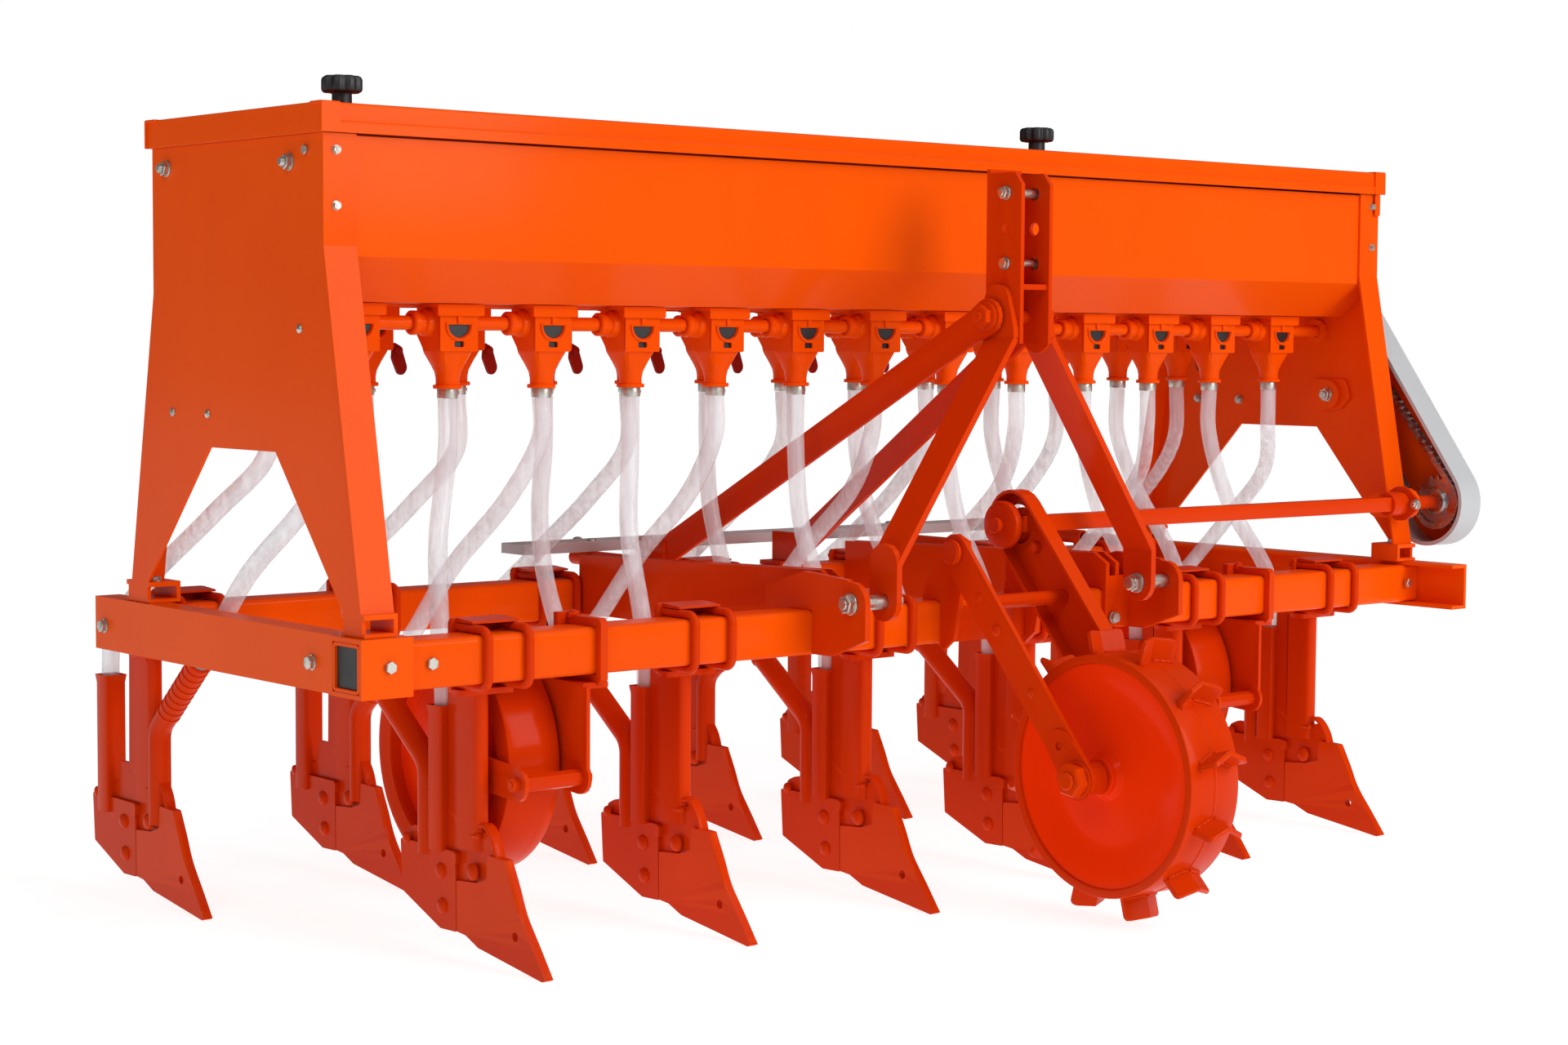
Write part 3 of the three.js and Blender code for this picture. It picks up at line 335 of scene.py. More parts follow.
@dataclass(frozen=True)
class Enamel(Coat):
    """Glossy stove enamel over welded steel: slight mottling, orange peel and a painted highlight along
    sharp edges.

    Attributes:
        colour: The full colour.
        deep: The colour where the coat is thick.
        highlight_tone: The lighter colour painted along sharp edges as a highlight; it also tints the
            gloss.
        gloss: The roughness of clean paint.
    """

    colour: Colour
    deep: Colour
    highlight_tone: Colour
    gloss: float

    def material(self) -> bpy.types.Material:
        """Builds the material.

        Returns:
            The material.
        """
        shader = Shader(self.name)
        clouds = shader.noise(2.6, 4).between(0.35, 0.7)
        runs = shader.noise(16, 4, (1, 1, 0.2)).between(0.5, 0.75)
        scuffs = (1 - shader.specks(38).between(0.0, 0.16)) * shader.noise(70).between(0.55, 0.7)
        paint = shader.blend(clouds * 0.55 + runs * 0.15, self.colour, self.deep)
        # Painted highlight: sharp edges are lightened towards the highlight tone.
        paint = shader.blend(shader.edges() * 0.2, paint, self.highlight_tone)
        dust = shader.height().between(0.09, 0.0) * shader.noise(45, 5).between(0.4, 0.75)
        paint = shader.blend(dust * 0.1, paint, (0.32, 0.10, 0.03))
        shader.dress(
            Base_Color=paint,
            Roughness=shader.noise(9, 3) * 0.16 + scuffs * 0.18 + dust * 0.2 + (self.gloss - 0.08),
            Coat_Weight=0.1,
            Specular_IOR_Level=0.05,
            Specular_Tint=self.highlight_tone,
            Coat_Roughness=0.12,
        )
        shader.bump(shader.noise(420, 2) + clouds * 2 - scuffs * 1.5, 0.00022, 0.35)
        return shader.material


@dataclass(frozen=True)
class Plating(Coat):
    """Zinc plating or bare turned steel.

    Attributes:
        bright: The colour of clean metal.
        dull: The colour of stained metal.
        rough: The roughness of clean metal.
    """

    bright: Colour
    dull: Colour
    rough: float

    def material(self) -> bpy.types.Material:
        """Builds the material.

        Returns:
            The material.
        """
        shader = Shader(self.name)
        stain = shader.noise(60, 5).between(0.42, 0.68)
        crystal = shader.specks(240).between(0.1, 0.8)
        metal = shader.blend(stain * 0.75, self.bright, self.dull)
        metal = shader.blend(crystal * 0.2, metal, self.dull)
        shader.dress(
            Base_Color=metal,
            Metallic=1.0 - stain * 0.2,
            Roughness=stain * 0.25 + crystal * 0.06 + self.rough,
        )
        shader.bump(shader.noise(900, 2) + crystal, 0.00005, 0.4)
        return shader.material


@dataclass(frozen=True)
class Plastic(Coat):
    """Moulded plastic or rubber with a fine grain.

    Attributes:
        colour: The plastic's colour.
        rough: Its roughness.
        grain: The depth of its grain in metres.
    """

    colour: Colour
    rough: float
    grain: float

    def material(self) -> bpy.types.Material:
        """Builds the material.

        Returns:
            The material.
        """
        shader = Shader(self.name)
        grain = shader.noise(1300, 2)
        bloom = shader.noise(30, 4).between(0.45, 0.75)
        pale = tuple(min(1.0, c * 1.6 + 0.02) for c in self.colour)
        shader.dress(
            Base_Color=shader.blend(bloom * 0.5, self.colour, pale),
            Roughness=bloom * 0.15 + self.rough,
        )
        shader.bump(grain, self.grain, 0.6)
        return shader.material


@dataclass(frozen=True)
class ClearHose(Coat):
    """Clear, slightly milky plastic hose with flow lines along it.

    Attributes:
        tint: The plastic's colour.
        haze: How much the wall hides what is behind it.
    """

    tint: Colour
    haze: float

    def material(self) -> bpy.types.Material:
        """Builds the material.

        Returns:
            The material.
        """
        shader = Shader(self.name)
        lines = shader.noise(95, 3, (1, 1, 0.06)).between(0.4, 0.65)
        cloud = shader.noise(8, 3).between(0.35, 0.7)
        milk = shader.blend(lines * 0.5, self.tint, (0.70, 0.73, 0.78))
        shader.dress(
            Base_Color=milk,
            Alpha=lines * 0.22 + cloud * 0.12 + (self.haze - 0.15),
            Roughness=lines * 0.12 + 0.08,
            IOR=1.45,
        )
        shader.bump(lines, 0.0004, 0.35)
        return shader.material


class Finish(Enum):
    """The finishes of the drill."""

    ORANGE = Enamel(
        "orange enamel", Slot.ORANGE, (0.89, 0.084, 0.001), (0.80, 0.064, 0.001),
        (1.0, 0.14, 0.004), 0.34,
    )
    DEEP = Enamel(
        "deep orange enamel", Slot.ORANGE, (0.67, 0.036, 0.0008), (0.57, 0.027, 0.0008),
        (0.95, 0.10, 0.003), 0.30,
    )
    # Painted shade: a redder copy of the orange enamel for the recessed wheel discs, standing in for the
    # orange light that bounces round their hollows.
    SHADE = Enamel(
        "orange enamel with painted shade", Slot.ORANGE, (0.94, 0.038, 0.001), (0.84, 0.029, 0.001),
        (1.0, 0.11, 0.004), 0.34,
    )
    PALE = Enamel(
        "light grey paint", Slot.PALE, (0.52, 0.53, 0.545), (0.44, 0.45, 0.465),
        (0.80, 0.80, 0.80), 0.38,
    )
    RED = Enamel(
        "dark red enamel", Slot.ORANGE, (0.30, 0.012, 0.006), (0.22, 0.008, 0.004),
        (0.45, 0.03, 0.01), 0.40,
    )
    ZINC = Plating("zinc plate", Slot.ZINC, (0.66, 0.64, 0.58), (0.30, 0.28, 0.24), 0.26)
    STEEL = Plating("turned steel", Slot.ZINC, (0.56, 0.56, 0.57), (0.28, 0.26, 0.25), 0.22)
    BLACK = Plastic("black plastic", Slot.BLACK, (0.009, 0.009, 0.010), 0.42, 0.00006)
    HOSE = ClearHose("clear hose", Slot.CLEAR, (0.92, 0.96, 1.0), 0.44)

    def material(self) -> bpy.types.Material:
        """The finish's material, made once."""
        made = bpy.data.materials.get(self.value.name)
        return made or self.value.material()


# ---- outlines and paths
class Axis(Enum):
    """The three directions that a plate can be extruded along."""

    X = 0
    Y = 1
    Z = 2

    def lift(self, along: float, u: float, v: float) -> Point:
        """Puts a flat point into space, at that place along the axis.

        Args:
            along: The place along the axis.
            u: The first flat coordinate.
            v: The second flat coordinate.

        Returns:
            The point in space.
        """
        values = [u, v]
        values.insert(self.value, along)
        return (values[0], values[1], values[2])


def arc_points(corner: Vector, before: Vector, after: Vector, radius: float, steps: int) -> list[Vector]:
    """Rounds one corner.

    Args:
        corner: The sharp corner.
        before: The point before it.
        after: The point after it.
        radius: The fillet's radius.
        steps: How many edges the fillet gets.

    Returns:
        The points that replace the corner.
    """
    back = before - corner
    on = after - corner
    angle = back.angle(on)
    reach = min(radius / math.tan(angle / 2), back.length * 0.49, on.length * 0.49)
    start = corner + back.normalized() * reach
    end = corner + on.normalized() * reach
    weight = math.sin(angle / 2)
    points = []
    for step in range(steps + 1):
        t = step / steps
        a, b, c = (1 - t) ** 2, 2 * t * (1 - t) * weight, t * t
        points.append((start * a + corner * b + end * c) / (a + b + c))
    return points


def rounded(points: Sequence[Sequence[float]], steps: int = 6) -> list[Flat]:
    """A closed outline with round corners.

    Args:
        points: Corners as (u, v) or (u, v, radius).
        steps: The edges of each round corner.

    Returns:
        The outline's points.
    """
    corners = [(Vector(p[:2]), p[2] if len(p) > 2 else 0.0) for p in points]
    result: list[Flat] = []
    for index, (corner, radius) in enumerate(corners):
        if radius <= 0:
            result.append((corner.x, corner.y))
            continue
        before = corners[index - 1][0]
        after = corners[(index + 1) % len(corners)][0]
        result += [(p.x, p.y) for p in arc_points(corner, before, after, radius, steps)]
    return result


def circle(u: float, v: float, radius: float, count: int = 24) -> list[Flat]:
    """The points of a circle."""
    turns = [2 * math.pi * i / count for i in range(count)]
    return [(u + radius * math.cos(t), v + radius * math.sin(t)) for t in turns]


def bowl(u: float, v: float, radius: float, steps: int) -> list[Flat]:
    """The points of a circle's lower half, from left to right."""
    turns = [math.pi + math.pi * i / steps for i in range(steps + 1)]
    return [(u + radius * math.cos(t), v + radius * math.sin(t)) for t in turns]


def rectangle(u: Span, v: Span, radius: float = 0.0, steps: int = 4) -> list[Flat]:
    """The points of a rectangle, with round corners if a radius is given."""
    corners = [(u[0], v[0]), (u[1], v[0]), (u[1], v[1]), (u[0], v[1])]
    return rounded([(*c, radius) for c in corners], steps)


def link(a: Flat, b: Flat, ra: float, rb: float, steps: int = 12) -> list[Flat]:
    """The outline of a flat link: two round ends and the straight sides between them.

    Args:
        a: The middle of one end.
        b: The middle of the other.
        ra: The radius round a.
        rb: The radius round b.
        steps: The edges of each round end.

    Returns:
        The outline's points.
    """
    way = Vector(b) - Vector(a)
    lean = math.atan2(way.y, way.x)
    open_by = math.acos((ra - rb) / way.length)
    points = []
    for centre, radius, first, last in (
        (a, ra, lean + open_by, lean + 2 * math.pi - open_by),
        (b, rb, lean - open_by, lean + open_by),
    ):
        for step in range(steps + 1):
            t = first + (last - first) * step / steps
            points.append((centre[0] + radius * math.cos(t), centre[1] + radius * math.sin(t)))
    return points


def bent(points: Sequence[Point], radius: float, steps: int = 6) -> list[Vector]:
    """A path with round bends.

    Args:
        points: The path's corners.
        radius: The radius of each bend.
        steps: The edges of each bend.

    Returns:
        The path's points.
    """
    path = [Vector(p) for p in points]
    result = [path[0]]
    for before, corner, after in zip(path, path[1:], path[2:]):
        result += arc_points(corner, before, after, radius, steps)
    return [*result, path[-1]]


def flowing(points: Sequence[Point], steps: int = 8) -> list[Vector]:
    """A centripetal Catmull-Rom curve through points.

    Args:
        points: The points it passes through.
        steps: The edges between two of them.

    Returns:
        The curve's points.
    """
    way = [Vector(p) for p in points]
    way = [way[0] * 2 - way[1], *way, way[-1] * 2 - way[-2]]
    result = []
    for a, b, c, d in zip(way, way[1:], way[2:], way[3:]):
        gaps = [max((q - p).length ** 0.5, 1e-4) for p, q in ((a, b), (b, c), (c, d))]
        in_b = ((b - a) / gaps[0] - (c - a) / (gaps[0] + gaps[1]) + (c - b) / gaps[1]) * gaps[1]
        in_c = ((c - b) / gaps[1] - (d - b) / (gaps[1] + gaps[2]) + (d - c) / gaps[2]) * gaps[1]
        for step in range(steps):
            t = step / steps
            cubic = (2 * b - 2 * c + in_b + in_c) * t**3
            square = (3 * c - 3 * b - 2 * in_b - in_c) * t**2
            result.append(cubic + square + in_b * t + b)
    return [*result, way[-2]]


# ---- meshes
@dataclass
class Shape:
    """A mesh in the making, in millimetres of the drill's own frame.

    Attributes:
        bm: Its vertices and faces.
    """

    bm: bmesh.types.BMesh = field(default_factory=bmesh.new)

    def faces(self, verts: Sequence[bmesh.types.BMVert], loops: Iterable[Sequence[int]]) -> None:
        """Adds faces from indices into verts."""
        for loop in loops:
            self.bm.faces.new([verts[i] for i in loop])

    def prism(
        self, axis: Axis, outline: Sequence[Flat], span: Span, holes: Sequence[list[Flat]] = ()
    ) -> None:
        """Extrudes an outline along an axis.

        Args:
            axis: The direction of the thickness.
            outline: The outer points, in the two other directions.
            span: The plate's two faces along the axis, in either order.
            holes: The outlines of through holes.
        """
        loops = [list(outline), *holes]
        flat = [p for loop in loops for p in loop]
        verts = [self.bm.verts.new(axis.lift(a, *p)) for a in sorted(span) for p in flat]
        count = len(flat)
        if holes:
            caps = tessellate_polygon([[Vector((*p, 0)) for p in loop] for loop in loops])
        else:
            caps = [tuple(range(count))]
        self.faces(verts, caps)
        self.faces(verts, [[i + count for i in reversed(cap)] for cap in caps])
        start = 0
        for loop in loops:
            size = len(loop)
            for i in range(size):
                a, b = start + i, start + (i + 1) % size
                self.faces(verts, [(a, b, b + count, a + count)])
            start += size

    def box(self, x: Span, y: Span, z: Span) -> None:
        """Adds a block."""
        self.prism(Axis.Z, [(x[0], y[0]), (x[1], y[0]), (x[1], y[1]), (x[0], y[1])], z)

    def loft(self, loops: Sequence[Sequence[Sequence[float]]], closed: bool = False) -> None:
        """Skins loops of equally many points.

        Args:
            loops: The loops, one after another.
            closed: Whether the last joins the first, instead of caps at both ends.
        """
        rings = [[self.bm.verts.new(p) for p in loop] for loop in loops]
        size = len(rings[0])
        pairs = list(zip(rings, rings[1:]))
        if closed:
            pairs.append((rings[-1], rings[0]))
        for low, high in pairs:
            for i in range(size):
                j = (i + 1) % size
                self.bm.faces.new((low[i], low[j], high[j], high[i]))
        if not closed:
            self.bm.faces.new(list(reversed(rings[0])))
            self.bm.faces.new(rings[-1])

    def turned(
        self, at: Sequence[float], way: Sequence[float], profile: Sequence[Flat], sides: int = 32,
        twist: float = 0.0,
    ) -> None:
        """Turns a closed profile round an axis.

        Args:
            at: A point of the axis.
            way: The axis's direction.
            profile: Points as (radius, place along the axis); a radius of 0 makes a pole.
            sides: How many sides the turned form gets; 6 makes a hexagon.
            twist: Where the first side stands, in radians.
        """
        turn = Vector(way).normalized().to_track_quat("Z", "Y").to_matrix()
        origin = Vector(at)
        rings = []
        for radius, along in profile:
            count = 1 if radius < 1e-6 else sides
            ring = []
            for i in range(count):
                t = twist + 2 * math.pi * i / sides
                local = Vector((radius * math.cos(t), radius * math.sin(t), along))
                ring.append(self.bm.verts.new(origin + turn @ local))
            rings.append(ring)
        solid = any(len(ring) == 1 for ring in rings)
        pairs = list(zip(rings, rings[1:]))
        if not solid:
            pairs.append((rings[-1], rings[0]))
        for low, high in pairs:
            for i in range(sides):
                j = (i + 1) % sides
                corners = [low[i % len(low)], low[j % len(low)], high[j % len(high)],
                           high[i % len(high)]]
                unique = list(dict.fromkeys(corners))
                if len(unique) > 2:
                    self.bm.faces.new(unique)

    def rod(
        self, start: Sequence[float], end: Sequence[float], radius: float, sides: int = 24,
        chamfer: float = 1.0,
    ) -> None:
        """Adds a round bar with chamfered ends.

        Args:
            start: The middle of one end.
            end: The middle of the other end.
            radius: The radius.
            sides: How many sides the section has.
            chamfer: The width of the chamfer.
        """
        way = Vector(end) - Vector(start)
        length = way.length
        cut = min(chamfer, radius * 0.4)
        profile = [(0, 0), (radius - cut, 0), (radius, cut), (radius, length - cut),
                   (radius - cut, length), (0, length)]
        self.turned(start, way, profile, sides)

    def sweep(
        self, path: Sequence[Vector], section: Sequence[Flat], side: Sequence[float],
        inner: Sequence[Flat] | None = None,
    ) -> None:
        """Moves a section along a path.

        Args:
            path: The path's points.
            section: The section's points; u lies along side, v across it and the path.
            side: A direction that is never along the path.
            inner: The section of the bore, with as many points as the section.
        """
        across = Vector(side).normalized()
        frames = []
        for i, point in enumerate(path):
            ahead = path[min(i + 1, len(path) - 1)] - path[max(i - 1, 0)]
            v = ahead.cross(across).normalized()
            u = v.cross(ahead).normalized()
            frames.append((point, u, v))

        def skin(outline: Sequence[Flat]) -> list[list[Vector]]:
            """The section's loops along the path."""
            return [[p + u * a + v * b for a, b in outline] for p, u, v in frames]

        outer = skin(section)
        if inner is None:
            self.loft(outer)
        else:
            self.loft([*outer, *reversed(skin(inner))], closed=True)

    def pipe(
        self, path: Sequence[Vector], radius: float, bore: float = 0.0, sides: int = 20,
        side: Sequence[float] = (1, 0, 0),
    ) -> None:
        """Bends a round bar or tube along a path; bore is the radius of its hollow."""
        inner = circle(0, 0, bore, sides) if bore else None
        self.sweep(path, circle(0, 0, radius, sides), side, inner)

    def weld(self, start: Sequence[float], end: Sequence[float], size: float = 3.5) -> None:
        """Lays a rippled weld bead from start to end.

        Args:
            start: The middle of one end.
            end: The middle of the other end.
            size: The width.
        """
        a, b = Vector(start), Vector(end)
        way = b - a
        count = max(4, int(way.length / (size * 0.55)))
        profile: list[Flat] = [(0.0, 0.0)]
        for i in range(count):
            along = way.length * (i + 0.5) / count
            swell = 1.0 + 0.10 * math.sin(i * 1.9) + (0.16 if i % 2 else 0.0)
            profile.append((size * swell * 0.9, along))
        profile.append((0.0, way.length))
        self.turned(a, way, profile, 8)

    def bolt(
        self, at: Sequence[float], way: Sequence[float], size: float = 12.0,
        washer: bool = True, stud: float = 0.0, domed: bool = False, twist: float = 0.3,
    ) -> None:
        """Adds a bolt head or nut.

        Args:
            at: The point on the plate under it.
            way: The direction that the head stands out in.
            size: The thread's diameter.
            washer: Whether it has a washer.
            stud: How far the thread runs on beyond the nut.
            domed: Whether the head is a round dome.
            twist: How far the hexagon is turned.
        """
        base = 0.0
        if washer and not domed:
            base = size * 0.2
            ring = [(size * 0.3, -0.5), (size * 1.05, -0.5), (size * 1.05, base * 0.8),
                    (size * 1.0, base), (size * 0.3, base)]
            self.turned(at, way, ring, 28)
        if domed:
            dome = [(0, -1.0), (size, -1.0), (size, size * 0.12), (size * 0.9, size * 0.3),
                    (size * 0.62, size * 0.48), (size * 0.3, size * 0.56), (0, size * 0.58)]
            self.turned(at, way, dome, 28)
            return
        head = size * 0.68
        hexagon = [(0, base - 0.3), (size * 0.95, base - 0.3), (size * 0.95, base + head * 0.86),
                   (size * 0.84, base + head), (0, base + head)]
        self.turned(at, way, hexagon, 6, twist)
        if stud:
            thread: list[Flat] = [(0, base)]
            pitch = size * 0.18
            steps = int(stud / pitch)
            for i in range(steps):
                thread.append((size * 0.46, base + head + i * pitch))
                thread.append((size * 0.52, base + head + (i + 0.5) * pitch))
            top = base + head + steps * pitch
            thread += [(size * 0.42, top), (0, top)]
            self.turned(at, way, thread, 16)


# ---- pieces
def added(name: str, data: bpy.types.ID) -> bpy.types.Object:
    """Puts a new object into the scene.

    Args:
        name: The object's name.
        data: The mesh, curve, camera or light that it shows.

    Returns:
        The object.
    """
    thing = bpy.data.objects.new(name, data)
    bpy.context.scene.collection.objects.link(thing)
    return thing


def reach(box: Sequence[Sequence[float]], axis: Axis) -> Span:
    """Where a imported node's box starts and ends along an axis, in mm of the drill's frame.

    Args:
        box: The box's two corners in metres.
        axis: The axis.

    Returns:
        The lower and the upper place.
    """
    shift = (DATUM.x, DATUM.y, 0.0)[axis.value]
    low, high = (corner[axis.value] * 1000 - shift for corner in box)
    return low, high


@dataclass(frozen=True)
class Piece:
    """What a finished piece is called and how it is dressed.

    Attributes:
        name: The piece's name.
        finish: Its finish.
        body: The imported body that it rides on.
        bevel: The width of its rounded edges in mm, or 0 for none.
        smooth: The angle in degrees up to which faces shade as one.
    """

    name: str
    finish: Finish
    body: str = "drill"
    bevel: float = 1.0
    smooth: float = 35.0

    def make(self, shape: Shape, *nodes: str) -> bpy.types.Object:
        """Turns a shape into an object that rides on its body.

        Args:
            shape: The shape, in millimetres.
            nodes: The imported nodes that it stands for.

        Returns:
            The object.
        """
        bmesh.ops.recalc_face_normals(shape.bm, faces=shape.bm.faces)
        shape.bm.transform(DATUM.matrix())
        mesh = bpy.data.meshes.new(self.name)
        shape.bm.to_mesh(mesh)
        shape.bm.free()
        mesh.shade_smooth()
        mesh.set_sharp_from_angle(angle=math.radians(self.smooth))
        piece = added(self.name, mesh)
        mesh.materials.append(self.finish.material())
        if self.bevel:
            soften(piece, self.bevel)
        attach(piece, self.body)
        if nodes:
            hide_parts(*nodes)
        log.info("%s: %d faces, in %s", self.name, len(mesh.polygons), self.finish.value.name)
        return piece


def soften(piece: bpy.types.Object, width: float, segments: int = 2) -> None:
    """Rounds an object's sharp edges.

    Args:
        piece: The object.
        width: The width of the rounding in mm.
        segments: Its steps.
    """
    bevel = piece.modifiers.new("soft edges", "BEVEL")
    bevel.width = width * 0.001
    bevel.segments = segments
    bevel.limit_method = "ANGLE"
    bevel.angle_limit = math.radians(32)
    bevel.harden_normals = True
    bevel.use_clamp_overlap = True


def carry_over(name: str, finish: Finish, bevel: float) -> None:
    """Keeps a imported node, with soft edges and a real finish.

    Args:
        name: The node's name.
        finish: Its finish.
        bevel: The width of its rounded edges in mm.
    """
    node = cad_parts[name]
    material = finish.material()
    for index in range(max(1, len(node.material_slots))):
        if index < len(node.material_slots):
            node.material_slots[index].material = material
        else:
            node.data.materials.append(material)
    soften(node, bevel)
    log.info("%s: kept, in %s", name, finish.value.name)


# ---- frame
@dataclass
class FrameBars:
    """The two square tubes of the frame and the bolts of its corners.

    Attributes:
        wall: The wall of a tube.
        corner: The radius of its edges.
        inset: How far a bar stops short of the other end of the frame.
    """

    wall: float = 5.0
    corner: float = 8.0
    inset: float = 12.3

    def tube(self, span: Span, y: float) -> Shape:
        """One square tube, open at its ends.

        Args:
            span: Where it starts and ends across the drill.
            y: Its front face.

        Returns:
            The shape.
        """
        shape = Shape()
        outer = rectangle((y, y + BAR), (BAR_BASE, BAR_TOP), self.corner, 5)
        w = self.wall
        inner = rectangle((y + w, y + BAR - w), (BAR_BASE + w, BAR_TOP - w), self.corner - w, 5)
        skins = [[(x, *p) for p in outer] for x in span]
        bores = [[(x, *p) for p in inner] for x in reversed(span)]
        shape.loft([*skins, *bores], closed=True)
        return shape

    def corner_bolts(self) -> Shape:
        """The bolts through sleeves, channels and foot seats.

        Returns:
            The shape.
        """
        shape = Shape()
        for side in (-1, 1):
            face = side * 1088.4
            for y, z in ((125, 416), (722, 414)):
                shape.bolt((face, y, z), (side, 0, 0), 10)
        for x, y in ((-1052, -6.4), (-985, -0.4), (1046, -6.4)):
            shape.bolt((x, y, 419), (0, -1, 0), 9, washer=False, twist=x)
        for side in (-1, 1):
            for y in (30, 42, 612, 640):
                shape.bolt((side * 1062, y, 486.8), (0, 0, 1), 8, twist=y)
        return shape

    def shade_fills(self) -> Shape:
        """Painted shade: dark blocks set a little inside the open ends of the tubes, where their hollows
        are in shade.

        Returns:
            The shape.
        """
        shape = Shape()
        w = self.wall + 0.4
        for y, trim in ((0.0, (0.0, self.inset)), (REAR_Y, (self.inset, 0.0))):
            section = rectangle((y + w, y + BAR - w), (BAR_BASE + w, BAR_TOP - w), 3)
            for side, cut in zip((-1, 1), trim):
                end = side * (BAR_REACH - cut)
                shape.prism(Axis.X, section, (end - side * 4, end - side * 20))
        return shape

    def make(self) -> None:
        """Makes the tubes, dresses the channels and adds the bolts."""
        front = (-BAR_REACH, BAR_REACH - self.inset)
        rear = (-BAR_REACH + self.inset, BAR_REACH)
        Piece("front_bar_tube", Finish.ORANGE, bevel=0.8).make(self.tube(front, 0), "front_bar")
        rear_tube = self.tube(rear, REAR_Y)
        Piece("rear_bar_tube", Finish.ORANGE, bevel=0.8).make(rear_tube, "rear_bar")
        for name in ("left_side_channel", "right_side_channel"):
            carry_over(name, Finish.ORANGE, 1.6)
        # Painted shade: black blocks inside the tube ends darken their hollows.
        Piece("frame_painted_shade", Finish.BLACK, bevel=0.6).make(self.shade_fills())
        Piece("frame_bolts", Finish.ZINC, bevel=0.0).make(self.corner_bolts())


